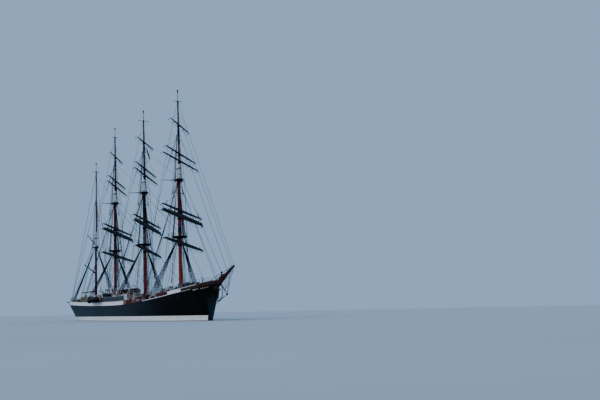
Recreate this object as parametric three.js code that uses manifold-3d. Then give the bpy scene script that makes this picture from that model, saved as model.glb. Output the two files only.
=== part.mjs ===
import * as THREE from 'three';
import { mergeVertices } from 'three/addons/utils/BufferGeometryUtils.js';
import Module from 'manifold-3d';

// A four-masted barque, square-rigged on three masts, as a 1:10 model.
// +X points to the bow, +Y to port and +Z up. The origin is on the centreline
// amidships, at the waterline.
// Every size below is in metres of the full-size ship. The ship group's scale
// turns them into millimetres of the model.
const MODEL_MM_PER_SHIP_METRE = 100;
const GAP = 0.003;
const DEGREE = Math.PI / 180;

// Hull
const KEEL_Z = -6.3;
const SHEER_LOW_Z = 4.2;
const SHEER_LOW_X = 1;
const SHEER_RISE_FORWARD = 0.0015;
const SHEER_RISE_AFT = 0.0004;
const BAND_Z = 1.25;
const HALF_BEAM = 7.3;
const STEM_HALF_THICKNESS = 0.14;
const STATIONS = 34;
const FAR = 70;
const DECK_STEP = 5;
const DECK_REACH = 75;

// Decks, as heights over the sheer line
const UPPER_DECK = -1.2;
const POOP_DECK = 1.0;
const FORECASTLE_DECK = 0.78;
const POOP_FRONT_X = 12.5;
const FORECASTLE_BACK_X = 32.6;
const BULWARK_THICKNESS = 0.1;

// Stern gear
const SHAFT_Z = -3.7;
const PROPELLER_X = -44.9;
const PROPELLER_RADIUS = 1.75;
const BLADES = 4;
const RUDDER_AXIS_X = -46.9;
const RUDDER_TOP_Z = -0.85;
const RUDDER_BOTTOM_Z = -5.75;
const RUDDER_LENGTH = 2.9;

// Masts: x where the mast's line crosses the reference height
const MAST_REFERENCE_Z = 6;
const MAST_RAKE = 3.3 * DEGREE;
const TRUCK_Z = 59.0;
const JIGGER_TRUCK_Z = 51.05;
const TOP_Z = 20.9;
const CROSSTREE_Z = 35.5;
const LOWER_AXIS = -0.3;
const UPPER_AXIS = 0.36;
const LOWER_MAST_RADIUS = [0.48, 0.34];
const TOPGALLANT_MAST_RADIUS = [0.28, 0.17];
const POLE_RADIUS = 0.075;
const POLE_LENGTH = 3;
const MAST_SIDES = 14;

const SQUARE_MASTS = [
  // name, x, brace angles in degrees of its yards at rest, from the course up
  { name: 'fore', x: 32.4, brace: [47.9, 46.5, 46, 45.5, 46.8, 49.8] },
  { name: 'main', x: 7.4, brace: [55.9, 54.8, 53.8, 54.2, 54.4, 52.8] },
  { name: 'mizzen', x: -17.6, brace: [52, 53.4, 53, 57.7, 57.6, 57.8] },
];
const JIGGER_X = -36.8;

const YARDS = [
  // name, height, length, spar radius at the middle, height of the furled sail over the
  // spar's axis, distance ahead of its mast's axis
  { name: 'course', z: 18.7, length: 29.8, radius: 0.29, furl: 0.56, ahead: 1.3, low: true },
  { name: 'lower_topsail', z: 25.4, length: 29.6, radius: 0.29, furl: 0.92, ahead: 1.15, low: true },
  { name: 'upper_topsail', z: 27.05, length: 27.4, radius: 0.26, furl: 0.36, ahead: 1.1, low: true },
  { name: 'lower_topgallant', z: 39.8, length: 24.2, radius: 0.2, furl: 0.28, ahead: 0.66, low: false },
  { name: 'upper_topgallant', z: 41.65, length: 21.7, radius: 0.19, furl: 0.26, ahead: 0.64, low: false },
  { name: 'royal', z: 49.3, length: 15.6, radius: 0.15, furl: 0.2, ahead: 0.52, low: false },
];
const YARD_SIDES = 8;
const PARREL_SIDES = 12;

// Colours
const PAINT = {
  hull: 0x14171b,
  white: 0xd8d6d2,
  grey: 0x6d7a84,
  deck: 0x8a7660,
  mast: 0x7a2415,
  mastDark: 0x3a1c1c,
  spar: 0x1b1b1e,
  boat: 0x3f1f1c,
  bronze: 0x8d6b35,
  iron: 0x1d1f22,
  wire: 0x23282f,
};

const wasm = await Module();
wasm.setup();

const ship = new THREE.Group();
ship.scale.setScalar(MODEL_MM_PER_SHIP_METRE);

// Solids and meshes

function toSolid(geometry) {
  const bare = geometry.clone();
  bare.deleteAttribute('normal');
  bare.deleteAttribute('uv');
  const merged = mergeVertices(bare, 1e-5);
  const solid = new wasm.Manifold(new wasm.Mesh({
    numProp: 3,
    vertProperties: new Float32Array(merged.attributes.position.array),
    triVerts: new Uint32Array(merged.index.array),
  }));
  return solid;
}

function toGeometry(solid) {
  const mesh = solid.getMesh();
  const geometry = new THREE.BufferGeometry();
  geometry.setAttribute('position', new THREE.BufferAttribute(new Float32Array(mesh.vertProperties), 3));
  geometry.setIndex(new THREE.BufferAttribute(new Uint32Array(mesh.triVerts), 1));
  geometry.computeVertexNormals();
  return geometry;
}

function join(...geometries) {
  return toGeometry(geometries.map(toSolid).reduce((whole, next) => whole.add(next)));
}

function cut(geometry, ...tools) {
  return toGeometry(tools.map(toSolid).reduce((whole, tool) => whole.subtract(tool), toSolid(geometry)));
}

function common(geometry, ...others) {
  return toGeometry(others.map(toSolid).reduce((whole, other) => whole.intersect(other), toSolid(geometry)));
}

function addMesh(parent, name, geometry, colour, roughness = 0.6, metalness = 0.1) {
  const material = new THREE.MeshStandardMaterial({ color: colour, roughness, metalness });
  const mesh = new THREE.Mesh(geometry, material);
  mesh.name = name;
  parent.add(mesh);
  return mesh;
}

function box(x0, x1, y0, y1, z0, z1) {
  const geometry = new THREE.BoxGeometry(x1 - x0, y1 - y0, z1 - z0);
  return geometry.translate((x0 + x1) / 2, (y0 + y1) / 2, (z0 + z1) / 2);
}

// A round bar along Z from z0 to z1, with its radius at each end.
function taperedBar(z0, z1, radius0, radius1, sides) {
  const geometry = new THREE.CylinderGeometry(radius1, radius0, z1 - z0, sides);
  return geometry.rotateX(Math.PI / 2).translate(0, 0, (z0 + z1) / 2);
}

// A round bar between two points.
function barBetween(start, end, radius0, radius1, sides) {
  const along = new THREE.Vector3().subVectors(end, start);
  const geometry = taperedBar(0, along.length(), radius0, radius1, sides);
  const turn = new THREE.Quaternion().setFromUnitVectors(new THREE.Vector3(0, 0, 1), along.normalize());
  return geometry.applyQuaternion(turn).translate(start.x, start.y, start.z);
}

// A turned body along Z from a list of [radius, z], on the axis at both ends.
function turned(profile, sides) {
  const points = profile.map(([radius, z]) => new THREE.Vector2(radius, z));
  return new THREE.LatheGeometry(points, sides).rotateX(Math.PI / 2);
}

// A closed skin through rings of equal length that mirror each other across the
// centreline: down the port side, then up the starboard side. Both ends are capped.
function loft(rings) {
  const count = rings[0].length;
  const positions = rings.flat().flatMap((point) => [point.x, point.y, point.z]);
  const index = [];
  for (let ring = 0; ring < rings.length - 1; ring += 1) {
    for (let i = 0; i < count; i += 1) {
      const a = ring * count + i;
      const b = ring * count + (i + 1) % count;
      index.push(a, b, b + count, a, b + count, a + count);
    }
  }
  const last = (rings.length - 1) * count;
  for (let i = 0; i < count / 2 - 1; i += 1) {
    const across = [i, i + 1, count - 2 - i, count - 1 - i];
    const [a, b, c, d] = across;
    index.push(a, c, b, a, d, c);
    const [e, f, g, h] = across.map((corner) => last + corner);
    index.push(e, f, g, e, g, h);
  }
  const geometry = new THREE.BufferGeometry();
  geometry.setAttribute('position', new THREE.Float32BufferAttribute(positions, 3));
  geometry.setIndex(signedVolume(positions, index) < 0 ? index.reverse() : index);
  return geometry;
}

// Negative where the faces point inwards.
function signedVolume(positions, index) {
  const corner = (i) => new THREE.Vector3().fromArray(positions, 3 * index[i]);
  let volume = 0;
  for (let i = 0; i < index.length; i += 3) {
    volume += corner(i).dot(corner(i + 1).cross(corner(i + 2))) / 6;
  }
  return volume;
}

// Hull surface

function sheer(x) {
  const rise = x > SHEER_LOW_X ? SHEER_RISE_FORWARD : SHEER_RISE_AFT;
  return SHEER_LOW_Z + rise * (x - SHEER_LOW_X) ** 2;
}

// Waterlines from the keel up: height, ends, half breadth amidships, then length, power and
// fullness of the run aft and of the entrance forward
const WATERLINES = [
  waterline(KEEL_Z, -42.2, 46.5, 4.4, 36, 1.5, 1.1, 34, 1.6, 1.1),
  waterline(-6.05, -42.7, 47.6, 5.6, 36, 1.6, 1.1, 33, 1.7, 1.05),
  waterline(-5.3, -43.1, 48.8, 6.7, 35, 1.7, 1.1, 32, 1.8, 1),
  waterline(-4, -43.4, 49.6, 7.15, 34, 1.8, 1.05, 31, 1.9, 0.97),
  waterline(-2, -43.6, 50.1, HALF_BEAM, 32, 1.9, 1, 31, 2, 0.95),
  waterline(-0.7, -44, 50.2, HALF_BEAM, 30, 2, 0.86, 31, 2, 0.92),
  waterline(-0.35, -47.8, 50.25, HALF_BEAM, 30, 2.1, 0.68, 31, 2, 0.92),
  waterline(0.4, -49.8, 50.4, HALF_BEAM, 30, 2.2, 0.68, 32, 2, 0.9),
  waterline(BAND_Z, -51.4, 50.7, HALF_BEAM, 30, 2.2, 0.64, 33, 2.1, 0.88),
  waterline(2.6, -53.2, 51.9, HALF_BEAM, 28, 2.3, 0.6, 35, 2.15, 0.83),
  waterline(3.4, -54.2, 52.6, HALF_BEAM, 26, 2.4, 0.58, 37, 2.2, 0.79),
  waterline(SHEER_LOW_Z, -54.9, 53.1, HALF_BEAM, 25, 2.4, 0.56, 38, 2.2, 0.75),
  waterline(5.4, -55.2, 53.4, HALF_BEAM, 25, 2.4, 0.55, 38, 2.2, 0.74),
];

function waterline(z, aft, fore, half, run, runP, runQ, ent, entP, entQ) {
  return { z, aft, fore, half, run, runP, runQ, ent, entP, entQ };
}

function halfBreadth(line, x, inset) {
  const past = Math.max(0, (line.aft + line.run - x) / line.run, (x - line.fore + line.ent) / line.ent);
  const aftward = x < line.aft + line.run;
  const power = aftward ? line.runP : line.entP;
  const fullness = aftward ? line.runQ : line.entQ;
  const half = line.half * Math.max(0, 1 - past ** power) ** fullness;
  return Math.max(half, STEM_HALF_THICKNESS) - inset;
}

// A station's outline: down the port side and up the starboard side.
function stationRing(part, inset) {
  const port = WATERLINES.map((line) => {
    const x = line.aft + part * (line.fore - line.aft);
    const stretch = (sheer(x) - BAND_Z) / (SHEER_LOW_Z - BAND_Z);
    const z = line.z <= BAND_Z ? line.z : BAND_Z + (line.z - BAND_Z) * stretch;
    return new THREE.Vector3(x, halfBreadth(line, x, inset), z);
  });
  const starboard = port.map((point) => new THREE.Vector3(point.x, -point.y, point.z));
  return [...port.reverse(), ...starboard];
}

function hullLoft(inset) {
  const rings = [];
  for (let i = 0; i <= STATIONS; i += 1) {
    const part = (1 - Math.cos(Math.PI * i / STATIONS)) / 2;
    rings.push(stationRing(part, inset));
  }
  return loft(rings);
}

// The decks run straight between points on the sheer, so that they stack without overlap.
function deckPoints(x0, x1) {
  const inner = [];
  for (let x = -DECK_REACH; x < DECK_REACH; x += DECK_STEP) {
    if (x > x0 && x < x1) inner.push(x);
  }
  return [x0, ...inner, x1];
}

function deckLine(x) {
  const low = Math.floor(x / DECK_STEP) * DECK_STEP;
  return THREE.MathUtils.mapLinear(x, low, low + DECK_STEP, sheer(low), sheer(low + DECK_STEP));
}

// Everything between two decks, given as heights over the sheer line, from x0 to x1.
// Without a lower deck it reaches below the keel.
function betweenDecks(x0, x1, low, high) {
  const xs = deckPoints(x0, x1);
  const bottom = low === null ? [x0, x1] : xs;
  const outline = bottom.map((x) => new THREE.Vector2(x, low === null ? KEEL_Z - 1 : deckLine(x) + low));
  const top = xs.map((x) => new THREE.Vector2(x, deckLine(x) + high));
  const shape = new THREE.Shape([...outline, ...top.reverse()]);
  const width = 4 * HALF_BEAM;
  const slab = new THREE.ExtrudeGeometry(shape, { depth: width, bevelEnabled: false });
  return slab.rotateX(Math.PI / 2).translate(0, width / 2, 0);
}

// The space under a deck, with a clearance over it, for seating what stands there.
function underDeck(deck) {
  return betweenDecks(-FAR, FAR, null, deck + GAP);
}

function seatedOn(deck, geometry) {
  return cut(geometry, underDeck(deck));
}

// Hull, poop and forecastle

const SOLE_TOP_Z = -5.95;
const SOLE_LENGTH = 3.8;
const BOSS_BOTTOM_Z = -0.6;
const DEADWOOD_END_X = -43.6;

function buildHull() {
  const skin = hullLoft(0);
  const upTo = betweenDecks(-FAR, FAR, null, UPPER_DECK);
  const sole = box(DEADWOOD_END_X - SOLE_LENGTH, DEADWOOD_END_X + 3, -0.2, 0.2, KEEL_Z, SOLE_TOP_Z);
  const shaftBoss = new THREE.CylinderGeometry(0.36, 0.36, 4, 12).rotateZ(Math.PI / 2);
  shaftBoss.translate(DEADWOOD_END_X + 1.8, 0, SHAFT_Z);
  const rudderBoss = taperedBar(BOSS_BOTTOM_Z, 1.6, 0.3, 0.3, 12).translate(RUDDER_AXIS_X, 0, 0);
  addMesh(ship, 'hull', join(common(skin, upTo), sole, shaftBoss, rudderBoss), PAINT.hull);
  const poop = common(skin, betweenDecks(-FAR, POOP_FRONT_X, UPPER_DECK + GAP, POOP_DECK));
  addMesh(ship, 'poop', poop, PAINT.white);
  const forecastle = common(skin, betweenDecks(FORECASTLE_BACK_X, FAR, UPPER_DECK + GAP, FORECASTLE_DECK));
  addMesh(ship, 'forecastle', cut(forecastle, mastFootSpace(SQUARE_MASTS[0].x)), PAINT.white);
  const well = betweenDecks(POOP_FRONT_X + GAP, FORECASTLE_BACK_X - GAP, UPPER_DECK + GAP, 0);
  const walls = cut(common(skin, well), hullLoft(BULWARK_THICKNESS));
  for (const [name, side] of [['port', 1], ['starboard', -1]]) {
    const half = box(-FAR, FAR, side > 0 ? 0 : -FAR, side > 0 ? FAR : 0, KEEL_Z, FAR);
    addMesh(ship, `well_bulwark_${name}`, common(walls, half), PAINT.hull);
  }
}

// The space round a lower mast's foot, where it passes through a deck.
function mastFootSpace(mastX) {
  const depth = 4;
  const radius = lowerRadius(MAST_REFERENCE_Z - depth, CROSSTREE_Z + DOUBLING, LOWER_MAST_RADIUS) + GAP;
  const bar = taperedBar(-depth, 2, radius, radius, MAST_SIDES).translate(LOWER_AXIS, 0, 0);
  return bar.rotateY(-MAST_RAKE).translate(mastX, 0, MAST_REFERENCE_Z);
}

const EAVE = 0.12;
const EAVE_DEPTH = 0.14;

// Deck pieces: name, deck, x from and to, half width, height, y of the middle; white where
// no colour is given
const DECK_PIECES = [
  { name: 'poop_house', deck: POOP_DECK, x0: -14.5, x1: 3.2, half: 3.1, height: 2.1, y: 0 },
  { name: 'chart_house', deck: POOP_DECK, x0: -27.5, x1: -21.5, half: 2.6, height: 2.5, y: 0 },
  { name: 'aft_house', deck: POOP_DECK, x0: -48.5, x1: -42.5, half: 2.3, height: 1.6, y: 0 },
  { name: 'fore_house', deck: UPPER_DECK, x0: 18.2, x1: 29, half: 3.3, height: 2.5, y: 0 },
  { name: 'main_hatch', deck: UPPER_DECK, x0: 13.6, x1: 17, half: 2.2, height: 0.9, y: 0, colour: 'deck' },
  {
    name: 'rail_locker', deck: POOP_DECK, x0: 9.7, x1: 12.3, half: 0.3, height: 1.6, y: -6.75, colour: 'grey',
  },
];

function buildDeckPieces() {
  for (const { name, deck, x0, x1, half, height, y, colour = 'white' } of DECK_PIECES) {
    const middle = (x0 + x1) / 2;
    const roof = sheer(middle) + deck + height;
    const foot = sheer(middle) + deck;
    const walls = box(x0 + EAVE, x1 - EAVE, y - half + EAVE, y + half - EAVE, foot - 0.6, roof);
    const cover = box(x0, x1, y - half, y + half, roof - EAVE_DEPTH, roof);
    const plinth = box(x0, x1, y - half, y + half, foot - 0.6, foot + 0.16);
    addMesh(ship, name, seatedOn(deck, join(walls, cover, plinth)), PAINT[colour]);
  }
}

// A covered boat: a hull below and a peaked cover above.
function boat(length, half, depth, ridge) {
  const rings = [];
  const steps = 8;
  for (let i = 0; i <= steps; i += 1) {
    const part = i / steps;
    const x = (part - 0.5) * length;
    const wide = Math.max(0.08, half * (1 - Math.abs(2 * part - 1) ** 2.4));
    const peak = ridge * (1 - 0.5 * Math.abs(2 * part - 1) ** 2);
    const port = [
      new THREE.Vector3(x, 0.03, peak),
      new THREE.Vector3(x, wide, 0.1 * ridge),
      new THREE.Vector3(x, wide, 0),
      new THREE.Vector3(x, 0.75 * wide, -0.6 * depth),
      new THREE.Vector3(x, 0.03, -depth),
    ];
    const starboard = port.map((point) => new THREE.Vector3(x, -point.y, point.z));
    rings.push([...port, ...starboard.reverse()]);
  }
  return loft(rings);
}

const COVERED_BOATS = [
  // name, x of the middle, y
  { name: 'boat_aft', x: -10.6, y: 0 },
  { name: 'boat_forward', x: -1.9, y: 0 },
];
const BOAT_LENGTH = 8.4;
const CHOCK = { spread: 2.4, half: 0.12, reach: 0.9, height: 0.5 };

// The work boat hangs outboard in two davits: its waterline's height over the deck, then each
// davit's distance from the boat's middle, its foot, peak and head as [y, height over the deck]
const WORK_BOAT = { x: -12, y: -8.5, length: 9.6, half: 0.95, up: 0.7 };
const DAVIT = {
  spread: 3.1, radius: 0.1, foot: [-6.9, -0.5], bend: [-6.9, 1.7], peak: [-7.6, 2.25], head: [-8.5, 2],
};

function buildBoats() {
  const roof = sheer((-14.5 + 3.2) / 2) + POOP_DECK + 2.1;
  for (const { name, x, y } of COVERED_BOATS) {
    const shape = boat(BOAT_LENGTH, 1.35, 0.75, 0.5).translate(x, y, roof + 0.95);
    const chocks = [x - CHOCK.spread, x + CHOCK.spread].map((at) => (
      box(at - CHOCK.half, at + CHOCK.half, y - CHOCK.reach, y + CHOCK.reach, roof + GAP, roof + CHOCK.height)
    ));
    addMesh(ship, name, join(shape, ...chocks), PAINT.boat);
  }
  const { x, y, length, half, up } = WORK_BOAT;
  const deck = sheer(x) + POOP_DECK;
  const work = boat(length, half, 0.75, 0.4).translate(x, y, deck + up);
  const davits = [x - DAVIT.spread, x + DAVIT.spread].map((at) => davit(at, deck, deck + up + 0.2));
  addMesh(ship, 'work_boat', seatedOn(POOP_DECK, join(work, ...davits)), PAINT.iron);
}

// A davit at x: a post from the deck, arched over the boat, with its fall down to the boat.
function davit(x, deck, boatTop) {
  const { foot, bend, peak, head, radius } = DAVIT;
  const points = [foot, bend, peak, head].map(([y, up]) => new THREE.Vector3(x, y, deck + up));
  const bars = points.slice(1).map((point, i) => barBetween(points[i], point, radius, radius, 8));
  const knees = points.slice(1).map((point) => (
    new THREE.SphereGeometry(radius * 1.08, 8, 6).translate(point.x, point.y, point.z)
  ));
  const fall = taperedBar(boatTop, deck + head[1], 0.05, 0.05, 8).translate(x, head[0], 0);
  return join(...bars, ...knees, fall);
}

// Windlass on the forecastle: two warping drums on a shaft, carried by side frames.
function buildWindlass() {
  const x = 41;
  const deck = sheer(x) + FORECASTLE_DECK;
  const shaft = new THREE.CylinderGeometry(0.16, 0.16, 4.2, 10).translate(x, 0, deck + 0.75);
  const drum = new THREE.CylinderGeometry(0.42, 0.42, 0.7, 12);
  const drums = [-1.6, 0, 1.6].map((y) => drum.clone().translate(x, y, deck + 0.75));
  const frames = [-0.8, 0.8].map((y) => box(x - 0.45, x + 0.45, y - 0.08, y + 0.08, deck - 0.5, deck + 0.95));
  addMesh(ship, 'windlass', seatedOn(FORECASTLE_DECK, join(shaft, ...drums, ...frames)), PAINT.iron);
}

// The hull's half breadth at a place and height.
function sideAt(x, z) {
  const stretch = (sheer(x) - BAND_Z) / (SHEER_LOW_Z - BAND_Z);
  const level = z <= BAND_Z ? z : BAND_Z + (z - BAND_Z) / stretch;
  const above = WATERLINES.findIndex((line) => line.z > level);
  const [low, high] = [WATERLINES[above - 1], WATERLINES[above]];
  const part = (level - low.z) / (high.z - low.z);
  return THREE.MathUtils.lerp(halfBreadth(low, x, 0), halfBreadth(high, x, 0), part);
}

// A stockless anchor housed against the bow plating on each side: shank, crown and two flukes.
const ANCHOR = { x: 47.6, topZ: 6.9, bottomZ: 5.1, reach: 0.62, flukeTopZ: 6.2 };

function buildAnchors() {
  const plating = hullLoft(-GAP);
  for (const [name, side] of [['port', 1], ['starboard', -1]]) {
    const onSide = (x, z, out) => new THREE.Vector3(x, side * (sideAt(x, z) + out), z);
    const { x, topZ, bottomZ, reach, flukeTopZ } = ANCHOR;
    const shank = barBetween(onSide(x, topZ, 0.04), onSide(x, bottomZ, 0.12), 0.14, 0.17, 8);
    const crown = barBetween(onSide(x - reach, bottomZ, 0.08), onSide(x + reach, bottomZ, 0.08), 0.2, 0.2, 8);
    const flukes = [-reach, reach].map((along) => barBetween(
      onSide(x + along, bottomZ, 0.08),
      onSide(x + along * 1.1, flukeTopZ, 0.06),
      0.2, 0.07, 8,
    ));
    addMesh(ship, `anchor_${name}`, cut(join(shank, crown, ...flukes), plating), PAINT.iron);
  }
}

// Steering and screw

const HELM = { x: -30, height: 1.15, radius: 0.85, spokes: 8 };

function buildHelm() {
  const deck = sheer(HELM.x) + POOP_DECK;
  const hubZ = deck + HELM.height;
  const stand = box(HELM.x - 1.1, HELM.x - 0.25, -0.3, 0.3, deck - 0.5, hubZ + 0.35);
  const axle = new THREE.CylinderGeometry(0.07, 0.07, 0.5, 10).rotateZ(Math.PI / 2);
  axle.translate(HELM.x, 0, hubZ);
  addMesh(ship, 'helm_stand', seatedOn(POOP_DECK, join(stand, axle)), PAINT.mast);
  const rim = new THREE.TorusGeometry(HELM.radius * 0.78, 0.06, 5, 16).rotateY(Math.PI / 2);
  const hubOutline = new THREE.Shape().absarc(0, 0, 0.17, 0, 2 * Math.PI);
  hubOutline.holes.push(new THREE.Path().absarc(0, 0, 0.077, 0, 2 * Math.PI));
  const hub = new THREE.ExtrudeGeometry(hubOutline, { depth: 0.2, bevelEnabled: false, curveSegments: 16 });
  hub.translate(0, 0, -0.1).rotateY(Math.PI / 2);
  const spokes = [];
  for (let i = 0; i < HELM.spokes; i += 1) {
    const spoke = taperedBar(0.13, HELM.radius, 0.04, 0.03, 5);
    spokes.push(spoke.rotateX(2 * Math.PI * i / HELM.spokes));
  }
  addMesh(ship, 'helm_wheel', join(rim, hub, ...spokes), PAINT.mast).position.set(HELM.x + 0.02, 0, hubZ);
}

function buildRudder() {
  const outline = new THREE.Shape();
  outline.moveTo(0.28, 0);
  outline.quadraticCurveTo(0.25, 0.2, -0.1, 0.21);
  outline.lineTo(-RUDDER_LENGTH, 0.06);
  outline.lineTo(-RUDDER_LENGTH, -0.06);
  outline.lineTo(-0.1, -0.21);
  outline.quadraticCurveTo(0.25, -0.2, 0.28, 0);
  const height = RUDDER_TOP_Z - RUDDER_BOTTOM_Z;
  const blade = new THREE.ExtrudeGeometry(outline, { depth: height, bevelEnabled: false, curveSegments: 4 });
  blade.translate(0, 0, RUDDER_BOTTOM_Z);
  const stock = taperedBar(RUDDER_TOP_Z - 0.2, BOSS_BOTTOM_Z - GAP, 0.16, 0.16, 12);
  const heel = taperedBar(SOLE_TOP_Z + GAP, RUDDER_BOTTOM_Z + 0.2, 0.14, 0.14, 12);
  addMesh(ship, 'rudder', join(blade, stock, heel), PAINT.hull).position.set(RUDDER_AXIS_X, 0, 0);
}

function buildPropeller() {
  const hub = turned([[0, -1.5], [0.16, -1.4], [0.3, -0.9], [0.33, 0], [0, 0]], 16).rotateY(Math.PI / 2);
  const blades = [];
  for (let i = 0; i < BLADES; i += 1) {
    const outline = new THREE.Shape();
    outline.moveTo(-0.16, 0.1);
    outline.quadraticCurveTo(-0.75, 1.1, -0.2, PROPELLER_RADIUS);
    outline.quadraticCurveTo(0.1, PROPELLER_RADIUS + 0.1, 0.3, PROPELLER_RADIUS - 0.2);
    outline.quadraticCurveTo(0.6, 0.9, 0.16, 0.1);
    const blade = new THREE.ExtrudeGeometry(outline, { depth: 0.07, bevelEnabled: false, curveSegments: 5 });
    blade.translate(0, 0, -0.035).rotateY(55 * DEGREE).translate(-0.5, 0, 0);
    blades.push(blade.rotateX(2 * Math.PI * i / BLADES));
  }
  const start = DEADWOOD_END_X - 0.2 - GAP;
  addMesh(ship, 'propeller', join(hub, ...blades), PAINT.bronze).position.set(start, 0, SHAFT_Z);
}

// Masts and their gear, each built on its own raked line

function mastFrame(x) {
  const frame = new THREE.Group();
  frame.position.set(x, 0, MAST_REFERENCE_Z);
  frame.rotation.y = -MAST_RAKE;
  frame.updateMatrix();
  ship.add(frame);
  return frame;
}

// Length along a mast from its reference point up to a height over the water.
function along(z) {
  return (z - MAST_REFERENCE_Z) / Math.cos(MAST_RAKE);
}

function lowerRadius(z, headZ, radii) {
  const part = (z - MAST_REFERENCE_Z) / (headZ - MAST_REFERENCE_Z);
  return radii[0] + (radii[1] - radii[0]) * part;
}

function plateWithHoles(points, holes, z0, z1) {
  const outline = new THREE.Shape(points.map(([x, y]) => new THREE.Vector2(x, y)));
  for (const { x, radius } of holes) {
    outline.holes.push(new THREE.Path().absarc(x, 0, radius, 0, 2 * Math.PI));
  }
  const curveSegments = MAST_SIDES / 2;
  const plate = new THREE.ExtrudeGeometry(outline, { depth: z1 - z0, bevelEnabled: false, curveSegments });
  return plate.translate(0, 0, z0);
}

function ringAround(radius, wall, height) {
  const ring = new THREE.Shape().absarc(0, 0, radius + wall, 0, 2 * Math.PI);
  ring.holes.push(new THREE.Path().absarc(0, 0, radius, 0, 2 * Math.PI));
  const curveSegments = PARREL_SIDES / 2;
  const shape = new THREE.ExtrudeGeometry(ring, { depth: height, bevelEnabled: false, curveSegments });
  return shape.translate(0, 0, -height / 2);
}

const TOP_OUTLINE = [
  [1.35, -0.6], [1.35, 0.6], [0.9, 1.5], [0.1, 1.95],
  [-1.55, 1.95], [-1.55, -1.95], [0.1, -1.95], [0.9, -1.5],
];
const CROSSTREE_OUTLINE = [[1, -0.7], [1, 0.7], [-1, 1.1], [-1, -1.1]];
const CAP_OUTLINE = [[0.75, -0.4], [0.75, 0.4], [-0.75, 0.45], [-0.75, -0.45]];
const PLATE = 0.14;
const OUTRIGGER = { x: -3.4, y: 3, rise: 0.35 };
const DOUBLING = 2.7;

function buildMast(frame, name, deck, platformZ, headZ, radii) {
  const bottom = -4;
  const head = along(headZ);
  const radiusLow = lowerRadius(MAST_REFERENCE_Z + bottom, headZ, radii);
  const pole = taperedBar(bottom, head, radiusLow, radii[1], MAST_SIDES).translate(LOWER_AXIS, 0, 0);
  const top = plateWithHoles(TOP_OUTLINE, [], along(platformZ) - PLATE, along(platformZ));
  const cap = mastCap(head);
  const cheeks = topBeams(along(platformZ) - PLATE);
  const deckTool = underDeck(deck).applyMatrix4(frame.matrix.clone().invert());
  addMesh(frame, `${name}_lower_mast`, cut(join(pole, top, cap, ...cheeks), deckTool), PAINT.mast);
}

// Beams fore and aft and athwartships under a top, reaching its rim.
function topBeams(under) {
  const beams = [];
  for (const y of [-0.42, 0.42]) {
    beams.push(box(-1.45, 1.25, y - 0.07, y + 0.07, under - 0.26, under + 0.02));
  }
  for (const x of [-1, 0.35]) {
    beams.push(box(x - 0.07, x + 0.07, -1.7, 1.7, under - 0.2, under + 0.02));
  }
  return beams;
}

// The cap at a lower mast's head, with a hole for the mast above.
function mastCap(head) {
  const radius = (TOPGALLANT_MAST_RADIUS[0] + GAP) / Math.cos(Math.PI / MAST_SIDES);
  return plateWithHoles(CAP_OUTLINE, [{ x: UPPER_AXIS, radius }], head - 0.02, head + PLATE);
}

function buildCrosstrees(frame, name, z, headRadius) {
  const low = along(z) - PLATE;
  const hole = (headRadius + GAP) / Math.cos(Math.PI / MAST_SIDES) + 0.004;
  const plate = plateWithHoles(CROSSTREE_OUTLINE, [{ x: LOWER_AXIS, radius: hole }], low, low + PLATE);
  const arms = [1, -1].map((side) => barBetween(
    new THREE.Vector3(-0.7, side * 0.7, low + PLATE / 2),
    new THREE.Vector3(OUTRIGGER.x, side * OUTRIGGER.y, low + PLATE / 2 + OUTRIGGER.rise),
    0.1, 0.07, 8,
  ));
  const beams = [-0.62, 0.62].map((y) => box(-0.9, 0.95, y - 0.08, y + 0.08, low - 0.35, low + 0.02));
  addMesh(frame, `${name}_crosstrees`, join(plate, ...arms, ...beams), PAINT.iron);
}

function buildUpperMast(frame, name, footZ, truckZ) {
  const foot = along(footZ) + GAP;
  const truck = along(truckZ);
  const [radius0, radius1] = TOPGALLANT_MAST_RADIUS;
  const shoulder = truck - POLE_LENGTH;
  const spar = taperedBar(foot, shoulder, radius0, radius1, MAST_SIDES);
  const pole = taperedBar(shoulder - 0.1, truck - 0.1, POLE_RADIUS, POLE_RADIUS * 0.8, 8);
  const button = turned([[0, -0.75], [0.14, -0.7], [0.17, -0.3], [0.2, 0], [0, 0.1]], 10);
  button.translate(0, 0, truck - 0.1);
  const band = turned([[0, -0.6], [0.24, -0.5], [0.26, 0], [0.1, 0.12], [0, 0.12]], 12);
  band.translate(0, 0, shoulder);
  const bar = box(-0.06, 0.06, -1.1, 1.1, shoulder - 0.16, shoulder - 0.04);
  const mast = join(spar, pole, button, band, bar).translate(UPPER_AXIS, 0, 0);
  addMesh(frame, name, mast, PAINT.mastDark);
}

// Yards: a tapered spar with its furled sail on top, on a parrel round the mast

function upperRadius(z) {
  const [radius0, radius1] = TOPGALLANT_MAST_RADIUS;
  return radius0 + (radius1 - radius0) * (z - CROSSTREE_Z) / (TRUCK_Z - POLE_LENGTH - CROSSTREE_Z);
}

function sparAlongY(length, radius) {
  const half = length / 2;
  const profile = [
    [0, -half], [radius * 0.45, -half], [radius * 0.85, -half * 0.55], [radius, -half * 0.2],
    [radius, half * 0.2], [radius * 0.85, half * 0.55], [radius * 0.45, half], [0, half],
  ];
  return turned(profile, YARD_SIDES).rotateX(Math.PI / 2);
}

// A furled sail along Y, its top at the given height over the spar's axis.
function furledSail(length, radius, top) {
  const half = length * 0.47;
  const deep = (top + 0.3 * radius) / 2;
  const profile = [
    [0, -half], [deep * 0.45, -half], [deep * 0.8, -half * 0.6], [deep, -half * 0.12],
    [deep, half * 0.12], [deep * 0.8, half * 0.6], [deep * 0.45, half], [0, half],
  ];
  const bundle = turned(profile, YARD_SIDES).rotateX(Math.PI / 2);
  return bundle.scale(0.75, 1, 1).translate(0.1 * radius, 0, top - deep);
}

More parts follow.
